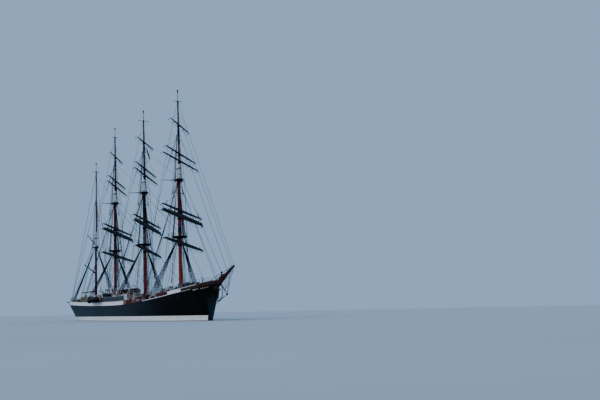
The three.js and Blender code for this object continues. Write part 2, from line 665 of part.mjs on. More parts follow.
function buildYards(frame, mast) {
  for (const [i, yard] of YARDS.entries()) {
    const headZ = CROSSTREE_Z + DOUBLING;
    const wide = yard.low ? lowerRadius(yard.z, headZ, LOWER_MAST_RADIUS) : upperRadius(yard.z);
    const bore = (wide + 0.006) / Math.cos(Math.PI / PARREL_SIDES);
    const parrel = ringAround(bore, 0.1, 0.36);
    const arm = box(bore + 0.04, yard.ahead, -0.12, 0.12, -0.12, 0.12);
    const spar = sparAlongY(yard.length, yard.radius).translate(yard.ahead, 0, 0);
    const sail = furledSail(yard.length, yard.radius, yard.furl).translate(yard.ahead, 0, 0);
    const shape = join(parrel, arm, spar, sail);
    const mesh = addMesh(frame, `${mast.name}_${yard.name}_yard`, shape, PAINT.spar);
    mesh.position.set(yard.low ? LOWER_AXIS : UPPER_AXIS, 0, along(yard.z));
    mesh.rotation.z = mast.brace[i] * DEGREE;
  }
}

// Jigger mast: gaffs and boom on goosenecks, each turning on a pin aft of the mast

const JIGGER_HEAD_Z = 26.1;
const JIGGER_TOP_Z = 23.35;
const JIGGER_RADII = [0.4, 0.28];
const PIN_BACK = 0.75;
const PIN_RADIUS = 0.07;
const SPARS = [
  // name, height of the gooseneck, then the far end's distance aft and height over it, radius
  { name: 'upper_gaff', z: 24.3, aft: 8, up: 4.2, radius: 0.15 },
  { name: 'lower_gaff', z: 15.1, aft: 11.7, up: 4, radius: 0.18 },
  { name: 'spanker_boom', z: 9.3, aft: 15.4, up: 0.7, radius: 0.2 },
];

function jiggerPinX() {
  return LOWER_AXIS - PIN_BACK;
}

function buildJigger() {
  const frame = mastFrame(JIGGER_X);
  const bottom = -4;
  const head = along(JIGGER_HEAD_Z);
  const pole = taperedBar(bottom, head, ...JIGGER_RADII, MAST_SIDES).translate(LOWER_AXIS, 0, 0);
  const top = plateWithHoles(CROSSTREE_OUTLINE, [], along(JIGGER_TOP_Z) - PLATE, along(JIGGER_TOP_Z));
  const cap = mastCap(head);
  const lugs = [];
  for (const spar of SPARS) {
    const z = along(spar.z);
    for (const side of [-0.24, 0.24]) {
      lugs.push(box(jiggerPinX() - 0.12, LOWER_AXIS - 0.1, -0.12, 0.12, z + side - 0.05, z + side + 0.05));
    }
    lugs.push(taperedBar(z - 0.24, z + 0.24, PIN_RADIUS, PIN_RADIUS, 12).translate(jiggerPinX(), 0, 0));
  }
  const deckTool = underDeck(POOP_DECK).applyMatrix4(frame.matrix.clone().invert());
  addMesh(frame, 'jigger_lower_mast', cut(join(pole, top, cap, ...lugs), deckTool), PAINT.mast);
  buildUpperMast(frame, 'jigger_topmast', JIGGER_TOP_Z, JIGGER_TRUCK_Z);
  for (const spar of SPARS) {
    const eye = ringAround((PIN_RADIUS + 0.005) / Math.cos(Math.PI / PARREL_SIDES), 0.08, 0.36);
    const far = new THREE.Vector3(-spar.aft, 0, spar.up);
    const near = far.clone().normalize().multiplyScalar(0.13);
    const pole = barBetween(near, far, spar.radius, spar.radius * 0.6, 10);
    const clearance = taperedBar(-1, 1, PIN_RADIUS + 0.02, PIN_RADIUS + 0.02, 12);
    const lugSpace = [0.15, -1.15].map((z) => box(-0.17, 0.6, -0.5, 0.5, z + 0.036, z + 1 - 0.036));
    const mesh = addMesh(frame, spar.name, join(cut(pole, clearance, ...lugSpace), eye), PAINT.mast);
    mesh.position.set(jiggerPinX(), 0, along(spar.z));
  }
}

// Bowsprit, with its striker below

const SPRIT_HEEL = new THREE.Vector3(51.4, 0, 6.86);
const SPRIT_TIP = new THREE.Vector3(61.7, 0, 11.95);
const SPRIT_RADIUS = [0.5, 0.17];
const STRIKER_TOP = new THREE.Vector3(54.7, 0, 8.5);
const STRIKER_END = new THREE.Vector3(58.1, 0, 5.8);

function spritZ(x) {
  return THREE.MathUtils.mapLinear(x, SPRIT_HEEL.x, SPRIT_TIP.x, SPRIT_HEEL.z, SPRIT_TIP.z);
}

// The spar comes out through the stem, so it starts where it leaves the plating.
function buildBowsprit() {
  const spar = barBetween(SPRIT_HEEL, SPRIT_TIP, ...SPRIT_RADIUS, 16);
  const bands = [53.9, 57, 61.2].map((x) => {
    const middle = new THREE.Vector3(x, 0, spritZ(x));
    const lead = new THREE.Vector3().subVectors(SPRIT_TIP, SPRIT_HEEL).normalize().multiplyScalar(0.14);
    const part = (x - SPRIT_HEEL.x) / (SPRIT_TIP.x - SPRIT_HEEL.x);
    const wide = THREE.MathUtils.lerp(...SPRIT_RADIUS, part) + 0.05;
    return barBetween(middle.clone().sub(lead), middle.clone().add(lead), wide, wide, 16);
  });
  const striker = barBetween(STRIKER_TOP, STRIKER_END, 0.12, 0.09, 8);
  const ball = new THREE.SphereGeometry(0.24, 10, 6).translate(STRIKER_END.x, 0, STRIKER_END.z);
  const whole = join(spar, striker, ball, ...bands);
  const plating = hullLoft(-GAP);
  addMesh(ship, 'bowsprit', cut(whole, plating, plating.clone().translate(GAP, 0, 0)), PAINT.mast);
}

// Main stays: from a mast down to the deck or the bowsprit ahead

const STAY_RADIUS = 0.035;
const STAYS = [
  // name, mast x, height on the mast, then the lower end: its x, height and the mast ahead
  { name: 'fore_stay', mast: 32.4, z: 23, x: 47.7, low: 7.9, ahead: null },
  { name: 'fore_topmast_stay', mast: 32.4, z: 34.8, x: 54.3, low: spritZ(54.3), ahead: null },
  { name: 'main_stay', mast: 7.4, z: 22.2, x: 32.4, low: 9.5, ahead: 32.4 },
  { name: 'mizzen_stay', mast: -17.6, z: 22.2, x: 7.4, low: 10.2, ahead: 7.4 },
  { name: 'jigger_stay', mast: -36.8, z: 22.9, x: -17.6, low: 10.2, ahead: -17.6 },
];

function mastPoint(mastX, z) {
  return new THREE.Vector3(mastX - Math.tan(MAST_RAKE) * (z - MAST_REFERENCE_Z) + LOWER_AXIS, 0, z);
}

// The space that a lower mast fills at a height, with a clearance round it.
function mastSpace(mastX, z) {
  const middle = mastPoint(mastX, z);
  const radius = lowerRadius(z, CROSSTREE_Z + DOUBLING, LOWER_MAST_RADIUS) + GAP;
  return taperedBar(-1.5, 1.5, radius, radius, MAST_SIDES).rotateY(-MAST_RAKE).translate(middle.x, 0, z);
}

function buildStays() {
  for (const { name, mast, z, x, low, ahead } of STAYS) {
    const end = ahead === null ? new THREE.Vector3(x, 0, low) : mastPoint(ahead, low);
    const bar = barBetween(mastPoint(mast, z), end, STAY_RADIUS, STAY_RADIUS, 6);
    const foot = ahead === null ? join(spritSpace(), underDeck(FORECASTLE_DECK)) : mastSpace(ahead, low);
    addMesh(ship, name, cut(bar, mastSpace(mast, z), foot), PAINT.wire);
  }
}

function spritSpace() {
  return barBetween(SPRIT_HEEL, SPRIT_TIP, SPRIT_RADIUS[0] + GAP, SPRIT_RADIUS[1] + GAP, 16);
}

buildHull();
buildDeckPieces();
buildBoats();
buildWindlass();
buildAnchors();
buildHelm();
buildRudder();
buildPropeller();
for (const mast of SQUARE_MASTS) {
  const frame = mastFrame(mast.x);
  const headZ = CROSSTREE_Z + DOUBLING;
  const deck = mast.name === 'fore' ? UPPER_DECK : POOP_DECK;
  buildMast(frame, mast.name, deck, TOP_Z, headZ, LOWER_MAST_RADIUS);
  buildCrosstrees(frame, mast.name, CROSSTREE_Z, lowerRadius(CROSSTREE_Z - 0.2, headZ, LOWER_MAST_RADIUS));
  buildUpperMast(frame, `${mast.name}_topgallant_mast`, CROSSTREE_Z, TRUCK_Z);
  buildYards(frame, mast);
}
buildJigger();
buildBowsprit();
buildStays();

export default ship;
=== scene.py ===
import math
from collections import namedtuple

import bpy
from mathutils import Matrix, Vector, noise


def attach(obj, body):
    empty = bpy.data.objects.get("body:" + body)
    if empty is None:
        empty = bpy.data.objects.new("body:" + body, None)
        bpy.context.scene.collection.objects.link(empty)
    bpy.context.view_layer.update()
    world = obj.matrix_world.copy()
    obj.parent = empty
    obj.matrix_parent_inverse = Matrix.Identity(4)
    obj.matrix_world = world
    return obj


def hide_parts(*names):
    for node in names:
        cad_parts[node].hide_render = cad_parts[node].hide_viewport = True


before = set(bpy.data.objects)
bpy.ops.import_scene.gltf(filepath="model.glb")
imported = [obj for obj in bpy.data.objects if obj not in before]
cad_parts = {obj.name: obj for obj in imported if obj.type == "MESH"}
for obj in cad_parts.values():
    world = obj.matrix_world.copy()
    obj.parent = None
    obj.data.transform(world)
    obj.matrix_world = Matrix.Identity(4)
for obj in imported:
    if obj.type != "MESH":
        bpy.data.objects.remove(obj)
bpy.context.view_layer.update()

# Lengths below are in metres of the full-size ship; the scene holds a model at a tenth of that.
S = 0.1

# Camera, from the photograph's horizon and the ship's proportions
CAMERA_PLACE = (225.44, -81.12, 2.08)
CAMERA_YAW = math.radians(149.05)
CAMERA_PITCH = math.radians(7.51)
CAMERA_ROLL = math.radians(1.09)
LENS = 50.0
SENSOR = 36
CLIP = (0.05, 500)

# Hull
SHEER_LOW_Z = 4.2
SHEER_LOW_X = 1.0
SHEER_RISE_FORWARD = 0.0015
SHEER_RISE_AFT = 0.0004
BAND_LEVEL = 1.25
BEAM = 7.3
STEM = 0.14
KEEL_Z = -6.3
TOP_LEVEL = 5.4
UPPER_DECK = -1.2
POOP_DECK = 1.0
FORECASTLE_DECK = 0.78
POOP_FRONT_X = 12.5
FORECASTLE_BACK_X = 32.6
POOP_WHITE_X = 10.1
CAP_WHITE_X = 24.0
CAP_END_X = 47.6
FORECASTLE_DARK_X = 36.9
FORECASTLE_WHITE_X = 42.3
BULWARK = 0.1
BOOT_LOW_Z = 0.13
BOOT_FORE_X = 49.4
BOOT_TOP_Z = 0.7

WATERLINES = (
    # level, aft end, fore end, half breadth, then length, power and fullness of the run and entrance
    (KEEL_Z, -42.2, 46.5, 4.4, 36, 1.5, 1.1, 34, 1.6, 1.1),
    (-6.05, -42.7, 47.6, 5.6, 36, 1.6, 1.1, 33, 1.7, 1.05),
    (-5.3, -43.1, 48.8, 6.7, 35, 1.7, 1.1, 32, 1.8, 1.0),
    (-4.0, -43.4, 49.6, 7.15, 34, 1.8, 1.05, 31, 1.9, 0.97),
    (-2.0, -43.6, 50.1, BEAM, 32, 1.9, 1.0, 31, 2.0, 0.95),
    (-0.7, -44.0, 50.2, BEAM, 30, 2.0, 0.86, 31, 2.0, 0.92),
    (-0.35, -47.8, 50.25, BEAM, 30, 2.1, 0.68, 31, 2.0, 0.92),
    (0.4, -49.8, 50.4, BEAM, 30, 2.2, 0.68, 32, 2.0, 0.9),
    (BAND_LEVEL, -51.4, 50.7, BEAM, 30, 2.2, 0.64, 33, 2.1, 0.88),
    (2.6, -53.2, 51.9, BEAM, 28, 2.3, 0.6, 35, 2.15, 0.83),
    (3.4, -54.2, 52.6, BEAM, 26, 2.4, 0.58, 37, 2.2, 0.79),
    (SHEER_LOW_Z, -54.9, 53.1, BEAM, 25, 2.4, 0.56, 38, 2.2, 0.75),
    (TOP_LEVEL, -55.2, 53.4, BEAM, 25, 2.4, 0.55, 38, 2.2, 0.74),
)

# Masts
MAST_FOOT_Z = 6.0
RAKE = math.radians(3.3)
TRUCK_Z = 59.0
JIGGER_TRUCK_Z = 51.05
POLE = 3.0
TOP_Z = 20.9
TREE_Z = 35.5
HEAD_Z = 38.2
LOWER_AXIS = -0.3
UPPER_AXIS = 0.36
PLATE = 0.14
# End of a crosstree outrigger: ahead of the mast's line, out to the side, over the plate
OUTRIGGER = (-3.4, 3.0, 0.35)
SQUARE_MASTS = {
    # name: x, height of the deck over the sheer, brace of each yard at rest from the course up
    "fore": (32.4, UPPER_DECK, (47.9, 46.5, 46.0, 45.5, 46.8, 49.8)),
    "main": (7.4, POOP_DECK, (55.9, 54.8, 53.8, 54.2, 54.4, 52.8)),
    "mizzen": (-17.6, POOP_DECK, (52.0, 53.4, 53.0, 57.7, 57.6, 57.8)),
}
JIGGER_X = -36.8
JIGGER_HEAD_Z = 26.1
JIGGER_TOP_Z = 23.35
PIN_BACK = 0.75

# Bowsprit, with its radius at the heel and at the tip
SPRIT_HEEL = Vector((51.4, 0, 6.86))
SPRIT_TIP = Vector((61.7, 0, 11.95))
SPRIT_RADIUS = (0.5, 0.17)


def put_in(name, data):
    """A new object that holds the data, in the scene."""
    thing = bpy.data.objects.new(name, data)
    bpy.context.scene.collection.objects.link(thing)
    return thing


def make_camera():
    reach = math.cos(CAMERA_PITCH)
    forward = Vector((math.cos(CAMERA_YAW) * reach, math.sin(CAMERA_YAW) * reach, math.sin(CAMERA_PITCH)))
    level = Vector((math.sin(CAMERA_YAW), -math.cos(CAMERA_YAW), 0))
    upward = level.cross(forward)
    right = level * math.cos(CAMERA_ROLL) - upward * math.sin(CAMERA_ROLL)
    top = level * math.sin(CAMERA_ROLL) + upward * math.cos(CAMERA_ROLL)
    data = bpy.data.cameras.new("camera")
    data.lens = LENS
    data.sensor_width = SENSOR
    data.clip_start, data.clip_end = CLIP
    camera = put_in("camera", data)
    turn = Matrix((right, top, -forward)).transposed().to_4x4()
    camera.matrix_world = Matrix.Translation(Vector(CAMERA_PLACE) * S) @ turn
    bpy.context.scene.camera = camera


make_camera()


# Materials

class Nodes:
    """A material's node tree, with short ways to add to it."""

    def __init__(self, name):
        self.material = bpy.data.materials.new(name)
        self.material.use_nodes = True
        self.tree = self.material.node_tree
        self.shader = self.tree.nodes["Principled BSDF"]
        self.place = self.tree.nodes.new("ShaderNodeTexCoord").outputs["Object"]

    def put(self, target, value):
        if hasattr(value, "is_output"):
            self.tree.links.new(value, target)
        elif hasattr(target.default_value, "__len__") and len(value) == 3:
            target.default_value = (*value, 1) if len(target.default_value) == 4 else value
        else:
            target.default_value = value

    def add(self, kind, values):
        """A node whose inputs take values or other nodes' outputs."""
        node = self.tree.nodes.new(f"ShaderNode{kind}")
        for key, value in values.items():
            self.put(node.inputs[key], value)
        return node

    def axes(self):
        return self.add("SeparateXYZ", {0: self.place}).outputs

    def noise(self, scale, detail=4.0, rough=0.55, stretch=None):
        place = self.place
        if stretch:
            place = self.add("Mapping", {"Vector": place, "Scale": stretch}).outputs["Vector"]
        values = {"Vector": place, "Scale": scale, "Detail": detail, "Roughness": rough}
        return self.add("TexNoise", values).outputs["Fac"]

    def wave(self, scale, distortion=0.0, direction="X"):
        node = self.add("TexWave", {"Vector": self.place, "Scale": scale, "Distortion": distortion})
        node.bands_direction = direction
        return node.outputs["Color"]

    def bricks(self, width, height, mortar, across=(0, 2)):
        """Joints between plates or planks: 0 on a joint and 1 off it."""
        axes = self.axes()
        flat = self.add("CombineXYZ", {0: axes[across[0]], 1: axes[across[1]]})
        values = {"Vector": flat.outputs[0], "Color1": (1, 1, 1), "Color2": (0.72, 0.72, 0.72),
                  "Mortar": (0, 0, 0), "Scale": 1, "Mortar Size": mortar, "Mortar Smooth": 0.3,
                  "Brick Width": width, "Row Height": height}
        return self.add("TexBrick", values).outputs["Color"]

    def ramp(self, value, *stops):
        node = self.add("ValToRGB", {"Fac": value})
        elements = node.color_ramp.elements
        while len(elements) < len(stops):
            elements.new(0.5)
        for element, (at, colour) in zip(elements, stops):
            element.position = at
            tone = (colour,) * 3 if isinstance(colour, (int, float)) else colour
            element.color = (*tone, 1)
        return node.outputs["Color"]

    def spread(self, scale, detail, low, high):
        """Values between two, in clouds."""
        return self.ramp(self.noise(scale, detail), (0.3, low), (0.7, high))

    def mix(self, factor, first, second, blend="MIX"):
        node = self.tree.nodes.new("ShaderNodeMix")
        node.data_type = "RGBA"
        node.blend_type = blend
        self.put(node.inputs["Factor"], factor)
        self.put(node.inputs[6], first)
        self.put(node.inputs[7], second)
        return node.outputs[2]

    def times(self, first, second):
        return self.mix(1.0, first, second, "MULTIPLY")

    def axis(self, which, low, high):
        """0 to 1 along an axis of the ship, between two places in ship metres."""
        values = {"Value": self.axes()[which], "From Min": low * S, "From Max": high * S}
        return self.add("MapRange", values).outputs["Result"]

    def bump(self, height, distance, strength):
        node = self.add("Bump", {"Height": height, "Distance": distance, "Strength": strength})
        self.put(self.shader.inputs["Normal"], node.outputs["Normal"])

    def finish(self, colour, rough, specular):
        self.put(self.shader.inputs["Base Color"], colour)
        self.put(self.shader.inputs["Roughness"], rough)
        self.shader.inputs["Metallic"].default_value = 0.0
        self.shader.inputs["Specular IOR Level"].default_value = specular
        return self.material


def shade(colour, by):
    return tuple(min(1.0, c * by) for c in colour)


def paint(name, colour, rough=(0.4, 0.6), spread=0.25, grime=(0.25, 0.17, 0.11), dirt=0.25, scale=14,
          specular=0.12):
    """Paint over metal or wood: cloudy, with run marks down it and a fine orange-peel bump."""
    n = Nodes(name)
    clouds = n.spread(scale, 5, shade(colour, 1 - spread), shade(colour, 1 + spread))
    runs = n.ramp(n.noise(30, 3, stretch=(1, 1, 0.08)), (0.56, 0.0), (0.78, dirt))
    n.bump(n.noise(160, 3), 0.0015, 0.35)
    return n.finish(n.mix(runs, clouds, grime), n.spread(scale * 2, 3, *rough), specular)


def worn(name, colour, spread, grime, dirt, rough=(0.4, 0.55), specular=0.05):
    """Older paint with a dull finish."""
    return paint(name, colour, rough, spread, grime, dirt, specular=specular)


def hull_plate(name, aft, fore, stem, rust, rough):
    """Riveted shell plating with painted light: a painted sky reflection makes it bluer and lighter aft,
    painted shade makes it darker forward, and a painted sky reflection makes it lighter low on the stem; with
    rust streaks.
    """
    n = Nodes(name)
    # Painted light along the length: the aft colour is a painted reflection of the sky, the fore colour is
    # painted shade.
    sides = n.ramp(n.axis(0, -30, 34), (0.0, aft), (0.45, shade(aft, 0.8)), (1.0, fore))
    # Where the stem is lightened by a painted reflection of the sky: low down and forward of x 49.6.
    low = n.times(n.axis(0, 49.6, 51.2), n.axis(2, 6.0, 0.5))
    clouds = n.ramp(n.noise(5, 6, 0.6, (1, 1, 2.2)), (0.3, 0.62), (0.72, 1.25))
    base = n.times(n.mix(low, sides, stem), clouds)
    plates = n.bricks(0.62, 0.115, 0.0022)
    seams = n.mix(n.ramp(plates, (0.0, 0.45), (0.5, 0.0)), base, shade(fore, 0.6))
    tones = n.mix(0.35, seams, n.times(seams, plates))
    runs = n.ramp(n.noise(26, 4, 0.6, (1, 1, 0.05)), (0.6, 0.0), (0.8, 0.3))
    n.bump(n.mix(0.5, plates, n.noise(9, 3, 0.5, (1, 1, 1.6))), 0.004, 0.35)
    return n.finish(n.mix(runs, tones, rust), n.spread(20, 4, *rough), 0.06)


def planks(name, light, dark, width, length, across=(0, 1), rough=(0.6, 0.8)):
    """Wood laid in planks, with caulked seams and grain along them."""
    n = Nodes(name)
    grain = n.noise(60, 6, 0.65, (0.12, 1, 1) if across[0] == 0 else (1, 1, 0.12))
    wood = n.ramp(grain, (0.3, dark), (0.7, light))
    boards = n.bricks(length * S, width * S, 0.0012, across)
    n.bump(n.mix(0.6, boards, grain), 0.002, 0.5)
    return n.finish(n.times(wood, boards), n.spread(25, 4, *rough), 0.3)


def canvas(name, light, dark):
    """Furled or stretched sailcloth: creases, a fine weave, and painted shade that darkens the cloth in the
    hollows of the creases.
    """
    n = Nodes(name)
    creases = n.noise(22, 6, 0.7, (1, 1, 2.4))
    # Painted shade: the colour runs from dark where the crease noise is low, in the hollows of the bump, to
    # light on the ridges.
    painted_crease_shade = n.ramp(creases, (0.32, dark), (0.5, shade(dark, 1.9)), (0.72, light))
    n.bump(n.mix(0.3, creases, n.wave(420, 1.5)), 0.008, 0.7)
    return n.finish(painted_crease_shade, n.spread(30, 3, 0.8, 0.95), 0.06)


def rope(name, colour):
    """Laid rope or wire: strands that show as a fine slanting ripple."""
    n = Nodes(name)
    lay = n.wave(130, direction="DIAGONAL")
    tone = n.ramp(lay, (0.2, shade(colour, 0.6)), (0.8, shade(colour, 1.3)))
    faded = n.mix(n.ramp(n.noise(6, 4), (0.4, 0.0), (0.7, 0.4)), tone, shade(colour, 1.7))
    n.bump(lay, 0.0006, 0.5)
    return n.finish(faded, 0.75, 0.08)


def glass(name, colour):
    n = Nodes(name)
    tone = n.spread(8, 2, shade(colour, 0.7), shade(colour, 1.6))
    return n.finish(tone, n.spread(40, 2, 0.05, 0.15), 0.6)


# Black hull paint with painted light: bluish grey aft is a painted sky reflection, near black forward is
# painted shade, teal low on the stem is a painted sky reflection.
HULL_BLACK_PAINTED_LIGHT = hull_plate("hull_black_painted_light", (0.019, 0.036, 0.052), (0.0006, 0.0007, 0.0009), (0.012, 0.045, 0.07),
                        (0.02, 0.014, 0.01), (0.5, 0.7))
HULL_WHITE = paint("hull_white", (0.78, 0.76, 0.80), (0.45, 0.6), 0.07, (0.36, 0.24, 0.15), 0.3, 10)
BOOT = paint("boot_topping", (0.74, 0.73, 0.71), (0.5, 0.65), 0.08, (0.3, 0.24, 0.17), 0.3, 8)
BOTTOM_RED = paint("bottom_paint", (0.12, 0.03, 0.022), (0.6, 0.8), 0.3, (0.04, 0.05, 0.03), 0.4, 6)
WHITE = paint("white_paint", (0.74, 0.72, 0.71), (0.4, 0.6), 0.1)
CREAM = paint("cream_paint", (0.40, 0.41, 0.42), (0.45, 0.6), 0.15)
GREY = paint("grey_paint", (0.15, 0.19, 0.22), (0.5, 0.65), 0.18)
LIGHT_GREY = paint("light_grey_paint", (0.36, 0.39, 0.41), (0.5, 0.65), 0.14)
BROWN_GREY = paint("mast_grey_brown", (0.08, 0.054, 0.053), (0.5, 0.65), 0.25)
OLIVE = paint("olive_cover", (0.20, 0.20, 0.07), (0.7, 0.85), 0.3)
ORANGE = paint("signal_orange", (0.48, 0.12, 0.03), (0.4, 0.55), 0.2)
BROWN = paint("varnished_brown", (0.10, 0.035, 0.015), (0.25, 0.4), 0.3)
DECK_BROWN = paint("deck_brown", (0.15, 0.065, 0.040), (0.5, 0.7), 0.35, (0.04, 0.016, 0.012), 0.4)
BRONZE = paint("bronze", (0.35, 0.21, 0.08), (0.3, 0.45), 0.25, (0.05, 0.12, 0.08), 0.35)
RED = worn("mast_red", (0.21, 0.018, 0.010), 0.22, (0.05, 0.008, 0.005), 0.3, specular=0.06)
CRIMSON = worn("mast_crimson", (0.15, 0.016, 0.020), 0.22, (0.04, 0.008, 0.008), 0.3, specular=0.06)
RUST = worn("mast_rust", (0.085, 0.010, 0.007), 0.3, (0.02, 0.006, 0.004), 0.4)
EMBER = worn("mast_brown_orange", (0.085, 0.026, 0.008), 0.35, (0.012, 0.006, 0.004), 0.5, (0.45, 0.6))
DARK_RED = worn("mast_dark_red", (0.045, 0.006, 0.004), 0.3, (0.015, 0.005, 0.004), 0.4)
MAROON = worn("mast_maroon", (0.07, 0.007, 0.021), 0.3, (0.015, 0.005, 0.008), 0.4)
DUSK = worn("mast_dusk", (0.005, 0.004, 0.007), 0.35, (0.015, 0.008, 0.007), 0.3)
BLACK = worn("black_iron", (0.0025, 0.003, 0.004), 0.4, (0.02, 0.01, 0.006), 0.3, (0.4, 0.6))
YARD = worn("yard_black", (0.003, 0.003, 0.005), 0.4, (0.02, 0.008, 0.006), 0.35, (0.4, 0.6))
SPAR = worn("yard_red_brown", (0.020, 0.007, 0.006), 0.4, (0.01, 0.004, 0.003), 0.35, (0.4, 0.6))
SPRIT_RED = worn("bowsprit_red", (0.060, 0.008, 0.011), 0.4, (0.015, 0.004, 0.006), 0.4, (0.5, 0.7))
SPRIT_MAROON = worn("bowsprit_maroon", (0.035, 0.005, 0.011), 0.4, (0.010, 0.003, 0.005), 0.4, (0.5, 0.7))
GEAR_BROWN = worn("gear_brown", (0.23, 0.15, 0.13), 0.5, (0.10, 0.05, 0.04), 0.5, (0.5, 0.7), 0.06)
GEAR_RED = worn("gear_red", (0.13, 0.055, 0.06), 0.5, (0.06, 0.02, 0.02), 0.5, (0.5, 0.7), 0.06)
BOW_BROWN = worn("bow_brown", (0.030, 0.016, 0.014), 0.5, (0.10, 0.045, 0.03), 0.5, (0.5, 0.7), 0.06)
DECK = planks("deck_planks", (0.34, 0.26, 0.18), (0.2, 0.14, 0.09), 0.15, 6.0)
TEAK = planks("teak", (0.17, 0.07, 0.03), (0.08, 0.03, 0.014), 0.12, 1.6, (1, 2), (0.3, 0.45))
SAIL = canvas("furled_sail", (0.30, 0.29, 0.29), (0.006, 0.005, 0.006))
# The furled sail's canvas again, painted dark as painted shade; it is on every yard but the lower topsails,
# and on the roll ahead of the main topgallant mast.
SAIL_PAINTED_SHADE = canvas("furled_sail_painted_shade", (0.045, 0.037, 0.038), (0.004, 0.003, 0.004))
SAIL_RED = canvas("furled_headsail", (0.16, 0.07, 0.075), (0.035, 0.008, 0.010))
SAIL_BROWN = canvas("stowed_canvas_brown", (0.075, 0.042, 0.038), (0.014, 0.007, 0.007))
COVER_RED = canvas("boat_cover", (0.055, 0.018, 0.016), (0.018, 0.006, 0.006))
SCREEN = canvas("rail_screen", (0.062, 0.074, 0.088), (0.026, 0.033, 0.042))
WIRE = rope("tarred_wire", (0.003, 0.006, 0.010))
ROPE = rope("running_rope", (0.010, 0.017, 0.026))
PALE_ROPE = rope("pale_rope", (0.33, 0.33, 0.34))
GLASS = glass("window_glass", (0.02, 0.03, 0.04))


# Shapes in ship metres

def up(height):
    return Vector((0, 0, height))


def spot(x, y, z, axis=None, angle=math.pi / 2):
    """A place, with a turn about one axis where that is given."""
    place = Matrix.Translation((x, y, z))
    return place @ Matrix.Rotation(angle, 4, axis) if axis else place


def circle(sides, close=False):
    """Angles round a circle, with the first again at the end where it has to close."""
    return [2 * math.pi * k / sides for k in range(sides + 1 if close else sides)]


